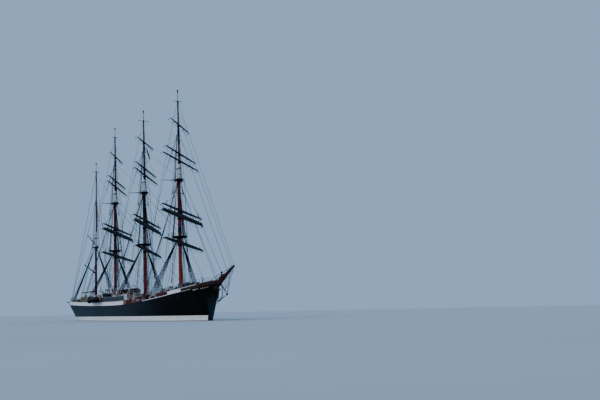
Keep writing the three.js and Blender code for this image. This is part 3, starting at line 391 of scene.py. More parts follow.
class Shape:
    """Faces gathered into one mesh, each with its place in the list of materials."""

    def __init__(self, *materials):
        self.materials = list(materials)
        self.points = []
        self.faces = []
        self.kinds = []

    def add(self, points, faces, kind, at=None):
        start = len(self.points)
        self.points.extend([at @ Vector(p) for p in points] if at else [Vector(p) for p in points])
        self.faces.extend([tuple(start + i for i in face) for face in faces])
        if kind not in self.materials:
            self.materials.append(kind)
        self.kinds.extend([self.materials.index(kind)] * len(faces))

    def make(self, name, body="root", replaces=(), angle=35):
        mesh = bpy.data.meshes.new(name)
        mesh.from_pydata([p * S for p in self.points], [], self.faces)
        for material in self.materials:
            mesh.materials.append(material)
        mesh.polygons.foreach_set("material_index", self.kinds)
        mesh.polygons.foreach_set("use_smooth", [True] * len(self.faces))
        mesh.update()
        mesh.set_sharp_from_angle(angle=math.radians(angle))
        piece = put_in(name, mesh)
        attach(piece, body)
        if replaces:
            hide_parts(*replaces)

    def block(self, x0, x1, y0, y1, z0, z1, kind, at=None, edge=0.03):
        """A box with chamfered edges."""
        e = min(edge, (x1 - x0) / 3, (y1 - y0) / 3, (z1 - z0) / 3)
        corners = [(sx, sy, sz) for sx in (0, 1) for sy in (0, 1) for sz in (0, 1)]
        points = []
        for sx, sy, sz in corners:
            x, y, z = (x1 if sx else x0), (y1 if sy else y0), (z1 if sz else z0)
            ix, iy, iz = x + (-e if sx else e), y + (-e if sy else e), z + (-e if sz else e)
            points += [(x, iy, iz), (ix, y, iz), (ix, iy, z)]
        place = {corner: 3 * i for i, corner in enumerate(corners)}
        walls, edges = [], []
        for axis in range(3):
            b, c = (axis + 1) % 3, (axis + 2) % 3
            rings = [], []
            for turn in ((0, 0), (1, 0), (1, 1), (0, 1)):
                key = [0, 0, 0]
                key[b], key[c] = turn
                low = place[tuple(key)]
                key[axis] = 1
                high = place[tuple(key)]
                rings[0].append(low + axis)
                rings[1].append(high + axis)
                strip = [low + b, low + c, high + c, high + b]
                edges.append(strip[::-1] if turn[0] == turn[1] else strip)
            walls += [rings[0][::-1], rings[1]]
        tips = [(k, k + 1, k + 2) if sum(corner) % 2 else (k + 2, k + 1, k) for corner, k in place.items()]
        self.add(points, walls + edges + tips, kind, at)

    def box(self, x, y, half_x, half_y, z0, z1, kind, at=None, edge=0.03):
        """A block round a place on the level."""
        self.block(x - half_x, x + half_x, y - half_y, y + half_y, z0, z1, kind, at, edge)

    def tube(self, path, radius, kind, sides=6, at=None, caps=True):
        """A round bar along a path; the radius is one number or one for each point."""
        path = [Vector(p) for p in path]
        radii = radius if hasattr(radius, "__len__") else [radius] * len(path)
        points, faces = [], []
        across = None
        for i, p in enumerate(path):
            ahead = (path[min(i + 1, len(path) - 1)] - path[max(i - 1, 0)]).normalized()
            if across is None:
                guide = Vector((0, 0, 1)) if abs(ahead.z) < 0.9 else Vector((1, 0, 0))
                across = guide.cross(ahead).normalized()
            across = (across - ahead * across.dot(ahead)).normalized()
            other = ahead.cross(across)
            for turn in circle(sides):
                points.append(p + (across * math.cos(turn) + other * math.sin(turn)) * radii[i])
        for i in range(len(path) - 1):
            for k in range(sides):
                a, b = i * sides + k, i * sides + (k + 1) % sides
                faces.append((a, b, b + sides, a + sides))
        if caps:
            faces.append(tuple(range(sides))[::-1])
            faces.append(tuple(range(len(points) - sides, len(points))))
        self.add(points, faces, kind, at)

    def bar(self, start, end, radius, kind, sides=6, at=None):
        self.tube((start, end), radius, kind, sides, at)

    def turned(self, profile, kind, sides=24, at=None):
        """A lathed body about Z, from a list of (radius, z); a zero radius closes it."""
        points, faces, rows = [], [], []
        for radius, z in profile:
            if radius == 0:
                rows.append([len(points)])
                points.append((0, 0, z))
            else:
                rows.append(list(range(len(points), len(points) + sides)))
                points += [(radius * math.cos(turn), radius * math.sin(turn), z) for turn in circle(sides)]
        for low, high in zip(rows, rows[1:]):
            for k in range(sides):
                n = (k + 1) % sides
                if len(low) == 1 and len(high) > 1:
                    faces.append((low[0], high[n], high[k]))
                elif len(high) == 1 and len(low) > 1:
                    faces.append((low[k], low[n], high[0]))
                elif len(low) > 1:
                    faces.append((low[k], low[n], high[n], high[k]))
        self.add(points, faces, kind, at)

    def plate(self, outline, z0, z1, kind, at=None):
        """A flat plate with a polygon outline, counterclockwise from above."""
        n = len(outline)
        points = [(x, y, z0) for x, y in outline] + [(x, y, z1) for x, y in outline]
        faces = [tuple(range(n))[::-1], tuple(range(n, 2 * n))]
        faces += [(i, (i + 1) % n, n + (i + 1) % n, n + i) for i in range(n)]
        self.add(points, faces, kind, at)

    def grid(self, rows, kind, close=False, at=None, flip=False):
        """A skin through rows of points of equal length."""
        width = len(rows[0])
        faces = []
        for i in range(len(rows) - 1):
            for k in range(width if close else width - 1):
                a, b = i * width + k, i * width + (k + 1) % width
                face = (a, b, b + width, a + width)
                faces.append(face[::-1] if flip else face)
        self.add([p for row in rows for p in row], faces, kind, at)

    def closed_grid(self, rows, kind):
        """A skin through closed rows, with both ends shut."""
        count = tuple(range(len(rows[0])))
        self.grid(rows, kind, close=True)
        self.add(rows[0], [count[::-1]], kind)
        self.add(rows[-1], [count], kind)

    def ring(self, centre, radius, thick, kind, normal="Z", sides=20, at=None):
        """A hoop about an axis through its centre."""
        path = []
        for turn in circle(sides, True):
            c, s = radius * math.cos(turn), radius * math.sin(turn)
            offset = {"Z": (c, s, 0), "X": (0, c, s), "Y": (c, 0, s)}[normal]
            path.append(Vector(centre) + Vector(offset))
        self.tube(path, thick, kind, 6, at, caps=False)


# Hull surface

LEVELS = [row[0] for row in WATERLINES]
NEAR = 1e-9


def sheer(x):
    rise = SHEER_RISE_FORWARD if x > SHEER_LOW_X else SHEER_RISE_AFT
    return SHEER_LOW_Z + rise * (x - SHEER_LOW_X) ** 2


def on_waterline(row, part):
    _, aft, fore, wide, run, run_power, run_full, ent, ent_power, ent_full = row
    x = aft + part * (fore - aft)
    past = max(0.0, (aft + run - x) / run, (x - fore + ent) / ent)
    power, full = (run_power, run_full) if x < aft + run else (ent_power, ent_full)
    return x, max(wide * max(0.0, 1 - past ** power) ** full, STEM)


def cubic(values, heights, i, level):
    """Smooth value between rows i and i + 1."""
    def slope(k):
        a, b = max(k - 1, 0), min(k + 1, len(heights) - 1)
        return (values[b] - values[a]) / (heights[b] - heights[a])
    gap = heights[i + 1] - heights[i]
    t = (level - heights[i]) / gap
    lead, trail = slope(i) * gap, slope(i + 1) * gap
    return ((2 * t ** 3 - 3 * t ** 2 + 1) * values[i] + (t ** 3 - 2 * t ** 2 + t) * lead
            + (3 * t ** 2 - 2 * t ** 3) * values[i + 1] + (t ** 3 - t ** 2) * trail)


def stretch_at(x):
    """How much taller the plating over the band is here than where the sheer is lowest."""
    return (sheer(x) - BAND_LEVEL) / (SHEER_LOW_Z - BAND_LEVEL)


def hull_point(level, part, side=-1, out=0.0):
    """A point of the plating: level is the height amidships, part runs from the stern to the stem."""
    i = max(k for k in range(len(LEVELS) - 1) if LEVELS[k] <= level + NEAR)
    near = range(max(i - 1, 0), min(i + 3, len(LEVELS)))
    rows = {k: on_waterline(WATERLINES[k], part) for k in near}
    if level < BAND_LEVEL:
        linear = (level - LEVELS[i]) / (LEVELS[i + 1] - LEVELS[i])
        x, y = (low + linear * (high - low) for low, high in zip(rows[i], rows[i + 1]))
    else:
        x, y = (cubic({k: row[axis] for k, row in rows.items()}, LEVELS, i, level) for axis in (0, 1))
    z = level if level <= BAND_LEVEL else BAND_LEVEL + (level - BAND_LEVEL) * stretch_at(x)
    return Vector((x, side * (max(y, STEM) + out), z))


def level_for(z, part):
    """The level of a height in metres at a part of the length."""
    level = z
    for _ in range(4):
        x = hull_point(min(level, TOP_LEVEL), part)[0]
        level = z if z <= BAND_LEVEL else BAND_LEVEL + (z - BAND_LEVEL) / stretch_at(x)
    return min(max(level, KEEL_Z), TOP_LEVEL)


def part_at(x, z=None):
    """The part of the length where the plating at a height, or else at the sheer, is at x."""
    z = sheer(x) if z is None else z
    low, high = 0.0, 1.0
    for _ in range(26):
        middle = (low + high) / 2
        if hull_point(level_for(z, middle), middle).x < x:
            low = middle
        else:
            high = middle
    return (low + high) / 2


def side_at(x, z, side=-1, out=0.0):
    """A point of the plating at a place along the ship and a height."""
    part = part_at(x, z)
    return Vector((x, hull_point(level_for(z, part), part, side, out).y, z))


# Parts of the length where a deck ends or the paint changes
POOP_PART = part_at(POOP_FRONT_X)
FORECASTLE_PART = part_at(FORECASTLE_BACK_X)
WHITE_PART = part_at(FORECASTLE_WHITE_X)
BOOT_PART = part_at(BOOT_FORE_X, BOOT_TOP_Z)
POOP_WHITE_PART = part_at(POOP_WHITE_X)
CAP_PART = part_at(CAP_WHITE_X)
DARK_PART = part_at(FORECASTLE_DARK_X)
CAP_END_PART = part_at(CAP_END_X)
EXACT_PARTS = [CAP_END_PART, POOP_WHITE_PART, POOP_PART, CAP_PART, FORECASTLE_PART, DARK_PART, WHITE_PART,
               BOOT_PART]
STEPS = 96
PARTS = sorted([(1 - math.cos(math.pi * i / STEPS)) / 2 for i in range(STEPS + 1)] + EXACT_PARTS)


def parts_between(low, high):
    return [part for part in PARTS if low - NEAR <= part <= high + NEAR]


def edge(parts, rise, side):
    """Points along the plating at a height over the sheer, each with its outward direction."""
    points = []
    for part in parts:
        level = SHEER_LOW_Z
        for _ in range(3):
            level = SHEER_LOW_Z + rise / stretch_at(hull_point(level, part).x)
        points.append(hull_point(level, part, side))
    found = []
    for i, point in enumerate(points):
        run = points[min(i + 1, len(points) - 1)] - points[max(i - 1, 0)]
        found.append((point, Vector((-run.y, run.x, 0)).normalized() * side))
    return found


def raised(found, rise):
    return [(p + up(rise), n) for p, n in found]


def between(found, x0, x1):
    return [(p, n) for p, n in found if x0 - 1e-6 <= p.x <= x1 + 1e-6]


def walk(found, step):
    """Evenly spaced places along an edge."""
    places = []
    left = 0.0
    for (a, na), (b, nb) in zip(found, found[1:]):
        length = (b - a).length
        while left <= length:
            t = left / length
            places.append((a.lerp(b, t), na.lerp(nb, t).normalized()))
            left += step
        left -= length
    return places


def moulding(shape, found, profile, kind, side):
    """A strip along an edge with a closed cross-section of (outward, upward) offsets."""
    rows = [[p + n * out + up(rise) for out, rise in profile] for p, n in found]
    count = tuple(range(len(profile)))
    shape.grid(rows, kind, close=True, flip=side < 0)
    shape.add(rows[0], [count], kind)
    shape.add(rows[-1], [count[::-1]], kind)


def flat_bar(inner, outer, low, high):
    return ((outer, low), (outer, high), (inner, high), (inner, low))


def round_bar(radius, out=0.0):
    return [(out + radius * math.cos(turn), radius * math.sin(turn)) for turn in circle(6)]


# Hull plating

POOP_RISES = (0.0, 0.2, 0.4, 0.6, 0.8, POOP_DECK)
FORECASTLE_RISES = (0.0, 0.2, 0.4, 0.6, FORECASTLE_DECK)
WELL_RISES = (0.0, -0.4, -0.8, UPPER_DECK)
BOTTOM_LEVELS = (KEEL_Z, -6.05, -5.3, -4, -3, -2, -1.3, -0.7, -0.35, 0, BOOT_LOW_Z)
BOOT_LEVELS = (BOOT_LOW_Z, 0.4, 0.8, BAND_LEVEL)
SIDE_LEVELS = (BAND_LEVEL, 1.6, 2.1, 2.6, 3.0, 3.4, 3.8, SHEER_LOW_Z)
DEADWOOD_END_X = -43.6
RUDDER_X = -46.9
SHAFT_BOSS = ((0, 0), (0.33, 0), (0.36, 0.06), (0.36, 4), (0, 4))
RUDDER_BOSS = ((0, 0), (0.27, 0), (0.3, 0.05), (0.3, 2.2), (0, 2.2))
GUARD_RISE = -0.95
PORT_DROP = 0.75
PORTS = [-46 + 3.1 * i for i in range(18)] + [35, 38, 41]
PORT_RIM = ((0.2, -0.03), (0.25, 0.0), (0.25, 0.03), (0.16, 0.04), (0.14, 0.0))


def skin(shape, levels, parts, kind):
    for side in (1, -1):
        rows = [[hull_point(level, part, side) for part in parts] for level in levels]
        shape.grid(rows, kind, flip=side > 0)


def build_plating():
    shape = Shape()
    skin(shape, BOTTOM_LEVELS, PARTS, BOTTOM_RED)
    skin(shape, BOOT_LEVELS, parts_between(0, BOOT_PART), BOOT)
    skin(shape, BOOT_LEVELS, parts_between(BOOT_PART, 1), HULL_BLACK_PAINTED_LIGHT)
    skin(shape, SIDE_LEVELS, PARTS, HULL_BLACK_PAINTED_LIGHT)
    for part in (0.0, 1.0):
        bands = ((BOTTOM_LEVELS, BOTTOM_RED), (BOOT_LEVELS, HULL_BLACK_PAINTED_LIGHT), (SIDE_LEVELS, HULL_BLACK_PAINTED_LIGHT))
        for levels, kind in bands:
            rows = [[hull_point(level, part, side) for side in (-1, 1)] for level in levels]
            shape.grid(rows, kind, flip=part == 0)
    shape.grid([[hull_point(KEEL_Z, part, side) for part in PARTS] for side in (1, -1)], BOTTOM_RED)
    shape.block(DEADWOOD_END_X - 3.8, DEADWOOD_END_X + 3, -0.2, 0.2, KEEL_Z, -5.95, BOTTOM_RED)
    shape.turned(SHAFT_BOSS, BOTTOM_RED, 20, spot(DEADWOOD_END_X - 0.2, 0, -3.7, "Y"))
    shape.turned(RUDDER_BOSS, HULL_BLACK_PAINTED_LIGHT, 20, spot(RUDDER_X, 0, -0.6))
    for side in (1, -1):
        moulding(shape, edge(PARTS, 0, side), round_bar(0.06, 0.02), HULL_BLACK_PAINTED_LIGHT, side)
        guard = edge(parts_between(0, POOP_PART), GUARD_RISE, side)
        moulding(shape, guard, round_bar(0.05), HULL_BLACK_PAINTED_LIGHT, side)
    shape.make("hull_plating", replaces=("hull",), angle=30)


def build_ports():
    """Round ports along the black side, below the poop and the forecastle."""
    shape = Shape(BLACK, GLASS)
    for side in (1, -1):
        for x in PORTS:
            z = sheer(x) - PORT_DROP
            ahead = (side_at(x + 0.3, z, side) - side_at(x - 0.3, z, side)).normalized()
            upward = (side_at(x, z + 0.3, side) - side_at(x, z - 0.3, side)).normalized()
            out = upward.cross(ahead).normalized()
            if out.y * side < 0:
                out = -out
            across = upward.cross(out).normalized()
            turn = Matrix((across, out.cross(across), out)).transposed().to_4x4()
            at = Matrix.Translation(side_at(x, z, side)) @ turn
            shape.turned(PORT_RIM, BLACK, 14, at)
            shape.turned([(0.14, 0.012), (0, 0.016)], GLASS, 14, at)
    shape.make("side_ports")


def band(shape, low, high, rises, kind):
    """Plating above the sheer between two parts of the length."""
    for side in (1, -1):
        rows = [[p for p, n in edge(parts_between(low, high), rise, side)] for rise in rises]
        shape.grid(rows, kind, flip=side > 0)


def deck(shape, low, high, rise, inset):
    """A planked deck with a camber, between two parts of the length."""
    rows = []
    for part in parts_between(low, high):
        (port, _), = edge([part], rise, 1)
        half = max(port.y - inset, 0.05)
        shares = (-1, -0.6, -0.2, 0.2, 0.6, 1)
        rows.append([(port.x, f * half, port.z + 0.1 * (1 - f * f) - 0.02) for f in shares])
    shape.grid(rows, DECK, flip=True)


def bulkhead(shape, x, low, high, kind):
    """A wall across the ship between two heights over the sheer."""
    rows = []
    for i in range(5):
        rise = low + (high - low) * i / 4
        y = abs(side_at(x, sheer(x) + min(rise, 1.1)).y) - 0.02
        rows.append([(x, y * f, sheer(x) + rise) for f in (-1, -0.5, 0, 0.5, 1)])
    shape.grid(rows, kind)


def build_poop():
    shape = Shape()
    band(shape, 0, POOP_WHITE_PART, POOP_RISES, HULL_WHITE)
    band(shape, POOP_WHITE_PART, POOP_PART, POOP_RISES, DECK_BROWN)
    deck(shape, 0, POOP_PART, POOP_DECK, 0.05)
    bulkhead(shape, POOP_FRONT_X, UPPER_DECK, POOP_DECK, DECK_BROWN)
    for side in (1, -1):
        for low, high, kind in ((0, POOP_WHITE_PART, WHITE), (POOP_WHITE_PART, POOP_PART, DECK_BROWN)):
            top = edge(parts_between(low, high), POOP_DECK, side)
            moulding(shape, top, flat_bar(-0.22, 0.06, 0, 0.09), kind, side)
            moulding(shape, top, flat_bar(-0.45, -0.22, 0, 0.05), GREY, side)
    shape.make("poop_side_and_deck", replaces=("poop",), angle=30)


BOW_STRIPS = (
    # from x, to x, rise over the sheer, height, paint
    (42.3, 46.4, 0.0, 0.13, LIGHT_GREY),
    (46.6, 48.7, -0.35, 0.2, CREAM),
    (48.7, 51.4, -0.4, 0.16, GEAR_BROWN),
)
BOW_CAPS = (
    # from part, to part, paint
    (FORECASTLE_PART, DARK_PART, MAROON),
    (DARK_PART, CAP_END_PART, WHITE),
    (CAP_END_PART, 1, DECK_BROWN),
)
STEM_X = 53


def build_forecastle():
    shape = Shape()
    band(shape, FORECASTLE_PART, DARK_PART, FORECASTLE_RISES, MAROON)
    band(shape, DARK_PART, WHITE_PART, FORECASTLE_RISES, HULL_WHITE)
    band(shape, WHITE_PART, 1, FORECASTLE_RISES, BOW_BROWN)
    deck(shape, FORECASTLE_PART, 1, FORECASTLE_DECK, 0.05)
    bulkhead(shape, FORECASTLE_BACK_X, UPPER_DECK, FORECASTLE_DECK, WHITE)
    for side in (1, -1):
        lower = edge(parts_between(FORECASTLE_PART, DARK_PART), 0, side)
        moulding(shape, lower, flat_bar(-0.05, 0.08, 0, 0.14), WHITE, side)
        for x0, x1, rise, tall, kind in BOW_STRIPS:
            strip = between(edge(PARTS, rise, side), x0, x1)
            moulding(shape, strip, flat_bar(-0.05, 0.07, 0, tall), kind, side)
        for low, high, kind in BOW_CAPS:
            top = edge(parts_between(low, high), FORECASTLE_DECK, side)
            moulding(shape, top, flat_bar(-0.22, 0.06, 0, 0.1), kind, side)
    levels = [SHEER_LOW_Z + rise / stretch_at(STEM_X) for rise in FORECASTLE_RISES]
    shape.grid([[hull_point(level, 1.0, side) for side in (-1, 1)] for level in levels], BOW_BROWN)
    shape.make("forecastle_side_and_deck", replaces=("forecastle",), angle=30)


def build_well():
    """The low well between poop and forecastle, with its bulwarks, stays and planked deck."""
    shape = Shape()
    parts = parts_between(POOP_PART, FORECASTLE_PART)
    for side in (1, -1):
        rows = [[p - n * BULWARK for p, n in edge(parts, rise, side)] for rise in WELL_RISES]
        shape.grid(rows, WHITE, flip=side > 0)
        for low, high, kind in ((POOP_PART, CAP_PART, MAROON), (CAP_PART, FORECASTLE_PART, WHITE)):
            cap = edge(parts_between(low, high), 0, side)
            moulding(shape, cap, flat_bar(-0.3, 0.08, 0, 0.13), kind, side)
        for p, n in walk(edge(parts, 0, side), 1.3)[1:]:
            shape.bar(p - n * 0.14 - up(0.05), p - n * 0.65 + up(UPPER_DECK), 0.04, WHITE, 5)
    deck(shape, POOP_PART, FORECASTLE_PART, UPPER_DECK, 0.1)
    bulwarks = ("well_bulwark_port", "well_bulwark_starboard")
    shape.make("well_deck_and_bulwarks", replaces=bulwarks, angle=30)


# Rails round the decks

SCREEN_X = (-10.6, 10.4)
SCREEN_HEIGHT = 1.3
CROSS_RAILS = (
    # x, deck over the sheer, height, places across
    (POOP_FRONT_X - 0.12, POOP_DECK, 1.05, (0.7, 3, 5, 7.0)),
    (FORECASTLE_BACK_X + 0.15, FORECASTLE_DECK, 1.0, (0.7, 2.5, 4.5, 6.2)),
)


def rail(shape, found, height, kind, lines=(0.33, 0.66), spacing=1.5, post=0.035, line=0.018, inset=0.12):
    """Posts with lines between them and a rail on top; lines are fractions of the height."""
    for p, n in walk(found, spacing):
        foot = p - n * inset
        shape.bar(foot, foot + up(height), post, kind)
        shape.turned([(post * 1.9, 0), (post * 1.9, 0.04), (post, 0.1)], kind, 6, Matrix.Translation(foot))
    for fraction in (*lines, 1.0):
        path = [p - n * inset + up(height * fraction) for p, n in found]
        shape.tube(path, post if fraction == 1.0 else line, kind)


def build_rails():
    shape = Shape()
    for side in (1, -1):
        rail(shape, raised(edge(parts_between(0, POOP_PART), POOP_DECK, side), 0.09), 1.05, GREY)
        fore = raised(edge(parts_between(FORECASTLE_PART, 1), FORECASTLE_DECK, side), 0.1)
        rail(shape, between(fore, 0, 51.6), 1.0, GREY)
        for x, level, height, places in CROSS_RAILS:
            across = [(Vector((x, side * y, sheer(x) + level)), Vector((0, side, 0))) for y in places]
            rail(shape, across, height, LIGHT_GREY, spacing=1.2, inset=0)
    shape.make("deck_rails")


def build_screens():
    """Grey spray screens on the rail amidships, in panels that are laced between the posts."""
    shape = Shape(SCREEN, LIGHT_GREY)
    for side in (1, -1):
        found = between(raised(edge(PARTS, POOP_DECK, side), 0.12), *SCREEN_X)
        start = found[0][0].x
        panels = walk(found, 0.25)
        for outside in (True, False):
            rows = []
            for i in range(5):
                row = []
                for p, n in panels:
                    fold = 0.035 * abs(math.sin(math.pi * (p.x - start) / 1.5)) ** 0.6
                    away = 0.02 + fold + (0.0 if outside else -0.03)
                    row.append(p + n * (away - 0.12) + up(SCREEN_HEIGHT * i / 4))
                rows.append(row)
            shape.grid(rows, SCREEN, flip=(side > 0) == outside)
        shape.tube([p + n * -0.1 + up(SCREEN_HEIGHT) for p, n in panels], 0.035, LIGHT_GREY)
    shape.make("rail_screens", angle=50)


# Deck houses

EAVE = 0.12
HOUSES = (
    # name, deck, x from and to, half width, height, windows a side, their height, doors along x,
    # how far its fore wall stands proud
    ("poop_house", POOP_DECK, -14.5, 3.2, 3.1, 2.1, 9, 0.5, (-12.6, 1.6), 0.05),
    ("chart_house", POOP_DECK, -27.5, -21.5, 2.6, 2.5, 3, 0.5, (-22.6,), 0),
    ("aft_house", POOP_DECK, -48.5, -42.5, 2.3, 1.6, 3, 0.36, (), 0),
    ("fore_house", UPPER_DECK, 18.2, 29.0, 3.3, 2.5, 4, 0.5, (19.6, 27.6), 0),
)
HOUSE_ROOFS = {name: sheer((x0 + x1) / 2) + level + height for name, level, x0, x1, _, height, *_ in HOUSES}


def panel(shape, x, half, y, side, near, far, z0, z1, kind, edge):
    """A flat block on a side wall, between two distances out from it."""
    low, high = sorted((y + side * near, y + side * far))
    shape.block(x - half, x + half, low, high, z0, z1, kind, edge=edge)


def window(shape, x, y, z, side, wide, high):
    """A framed window in a side wall."""
    panel(shape, x, wide / 2, y, side, 0.01, 0.05, z - high / 2, z + high / 2, CREAM, 0.015)
    rise = high / 2 - 0.07
    panel(shape, x, wide / 2 - 0.07, y, side, 0.055, 0.067, z - rise, z + rise, GLASS, 0.004)


def door(shape, x, y, z, side, half=0.4, high=1.75):
    """A panelled door with a light and a handle."""
    panel(shape, x, half, y, side, 0.01, 0.06, z, z + high, TEAK, 0.02)
    panel(shape, x, half - 0.1, y, side, 0.06, 0.1, z + 0.15, z + high * 0.45, TEAK, 0.02)
    panel(shape, x, 0.15, y, side, 0.06, 0.1, z + high * 0.6, z + high * 0.6 + 0.35, GLASS, 0.02)
    handle = [(x + half * share, y + side * 0.1, z + high * 0.5) for share in (0.72, 0.4)]
    shape.tube(handle, 0.02, BRONZE)


def build_house(name, level, x0, x1, half, height, windows, window_high, doors, proud):
    shape = Shape(WHITE)
    foot = sheer((x0 + x1) / 2) + level
    roof = foot + height
    wall = half - EAVE
    middle, long = (x0 + x1) / 2, (x1 - x0) / 2
    low = min(sheer(x0), sheer(x1)) + level - 0.3
    shape.box(middle, 0, long - EAVE, wall, low, roof - 0.1, WHITE)
    shape.box(middle, 0, long, half, low, foot + 0.16, GREY)
    shape.box(middle, 0, long, half, roof - 0.14, roof, WHITE, edge=0.04)
    shape.box(middle, 0, long - 0.15, half - 0.15, roof - 0.03, roof + 0.012, LIGHT_GREY, edge=0.01)
    for side in (1, -1):
        for i in range(windows):
            x = x0 + 1.0 + (x1 - x0 - 2.0) * (i + 0.5) / windows
            if all(abs(x - at) > 0.75 for at in doors):
                window(shape, x, side * wall, foot + height * 0.62, side, 0.55, window_high)
        for x in doors:
            door(shape, x, side * wall, foot + 0.18, side)
        grip = [(x, side * (wall + 0.07), foot + 1.15) for x in (x0 + 0.3, x1 - 0.3)]
        shape.tube(grip, 0.02, TEAK)
    if proud:
        front = x1 - EAVE
        across = (0.02 - wall, wall - 0.02)
        shape.block(front, front + proud, *across, foot + 0.16, roof - 0.16, DECK_BROWN, edge=0.01)
    for end, x in ((-1, x0 + EAVE), (1, x1 - EAVE + proud)):
        turn = spot(x, 0, 0, "Z", -math.pi / 2 * end)
        for y in (-wall * 0.55, 0, wall * 0.55):
            at = turn @ spot(y, 0, foot + height * 0.62)
            shape.block(-0.27, 0.27, 0.01, 0.05, -0.22, 0.22, CREAM, at, 0.015)
            shape.block(-0.2, 0.2, 0.05, 0.065, -0.15, 0.15, GLASS, at, 0.005)
    shape.make(f"{name}_walls_and_roof", replaces=(name,), angle=30)


# Masts

LOWER_ZONES = {
    # top of each zone of paint and its paint, from the deck up
    "fore": ((16.6, RED), (18.6, CRIMSON), (21.8, EMBER), (23.4, DUSK), (26.0, CRIMSON), (34.9, RUST),
             (HEAD_Z, CREAM)),
    "main": ((16.5, CRIMSON), (20.2, EMBER), (24.2, BROWN_GREY), (29.6, DARK_RED), (34.9, DUSK),
             (HEAD_Z, CREAM)),
    "mizzen": ((17.0, CRIMSON), (21.6, EMBER), (26.6, DARK_RED), (34.9, RUST), (HEAD_Z, CREAM)),
    "jigger": ((19.6, MAROON), (23.3, DUSK), (JIGGER_HEAD_Z, LIGHT_GREY)),
}
UPPER_ZONES = {
    # the same, from the crosstrees up, or from the jigger's top
    "fore": ((39.3, CREAM), (44.4, CRIMSON), (49.4, DUSK), (54.4, DARK_RED), (TRUCK_Z - POLE, DUSK)),
    "main": ((38.9, CREAM), (43.0, DARK_RED), (TRUCK_Z - POLE, DUSK)),
    "mizzen": ((38.9, CREAM), (46.5, MAROON), (TRUCK_Z - POLE, DUSK)),
    "jigger": ((28.2, LIGHT_GREY), (31.5, BROWN_GREY), (35.2, RUST), (45.6, BROWN_GREY),
               (JIGGER_TRUCK_Z - POLE, DUSK)),
}
TRUCK_BARS = {"fore": 1.1, "main": 1.5, "mizzen": 1.1, "jigger": 1.2}

# Outlines of plates as (x, y), and profiles of turned forms as (radius, height)
TOP_RIM = ((1.35, -0.6), (1.35, 0.6), (0.9, 1.5), (0.1, 1.95), (-1.55, 1.95), (-1.55, -1.95),
           (0.1, -1.95), (0.9, -1.5))
TREE_RIM = ((1, -0.7), (1, 0.7), (-1, 1.1), (-1, -1.1))
CAP_RIM = ((0.75, -0.4), (0.75, 0.4), (-0.75, 0.45), (-0.75, -0.45))
BLOCK_PROFILE = ((0, -1), (0.6, -0.8), (0.85, 0), (0.6, 0.8), (0, 1))
TRUCK_BUTTON = ((0, -0.75), (0.11, -0.72), (0.14, -0.62), (0.15, -0.3), (0.2, -0.12), (0.2, 0),
                (0.1, 0.07), (0, 0.1))
SHOULDER_BAND = ((0.17, -0.62), (0.22, -0.5), (0.24, -0.05), (0.16, 0.06), (0.09, 0.12), (0, 0.12))
ROYAL_LUMP = ((0.21, 46.9), (0.3, 47.2), (0.31, 48.2), (0.23, 48.9))

# Heights of the bands and of the rungs over the tops
LOWER_BANDS = (12.5, 16.9, 20.2, 22.6, 23.9, 26.2, 30.5, 33.4)
UPPER_BANDS = (37.2, 38.6, 43.2, 45.6, 51.5, 54.4)
RUNG_FOOT_Z = 21.4
RUNG_STEP = 0.5
RUNGS = 26
TREE_CORE = ((0.36, -1.2), (0.5, -1.0), (0.52, -0.3), (0.42, 0.0))


def mast_at(x):
    return spot(x, 0, MAST_FOOT_Z, "Y", -RAKE)


def along(z):
    """Length along a mast from its reference point up to a height over the water."""
    return (z - MAST_FOOT_Z) / math.cos(RAKE)


def lower_radius(z, head=HEAD_Z, radii=(0.48, 0.34)):
    return radii[0] + (radii[1] - radii[0]) * (z - MAST_FOOT_Z) / (head - MAST_FOOT_Z)


def jigger_radius(z):
    return lower_radius(z, JIGGER_HEAD_Z, (0.4, 0.28))


def upper_radius(z, truck=TRUCK_Z, foot=TREE_Z):
    return 0.28 - 0.11 * (z - foot) / (truck - POLE - foot)


def jigger_upper_radius(z):
    return upper_radius(z, JIGGER_TRUCK_Z, JIGGER_TOP_Z)


def spar_in_zones(shape, radius_at, low, zones, axis, at, sides=28):
    """A tapered mast from a height up, painted in zones of (top, paint)."""
    for high, kind in zones:
        steps = max(2, int((high - low) / 2.5) + 1)
        heights = [low + (high - low) * i / steps for i in range(steps + 1)]
        shape.turned([(radius_at(z), along(z)) for z in heights], kind, sides, at @ spot(axis, 0, 0))
        low = high


def mast_band(shape, z, radius, axis, at, kind, tall=0.14, out=0.03, sides=28):
    half = tall / 2
    profile = [(radius, -half), (radius + out, -half + 0.02), (radius + out, half - 0.02), (radius, half)]
    shape.turned(profile, kind, sides, at @ spot(axis, 0, along(z)))


def block_on(shape, place, size=0.16, kind=BLACK):
    """A rigging block: a rounded shell round its sheave."""
    shape.turned([(size * r, size * z) for r, z in BLOCK_PROFILE], kind, 8, Matrix.Translation(place))


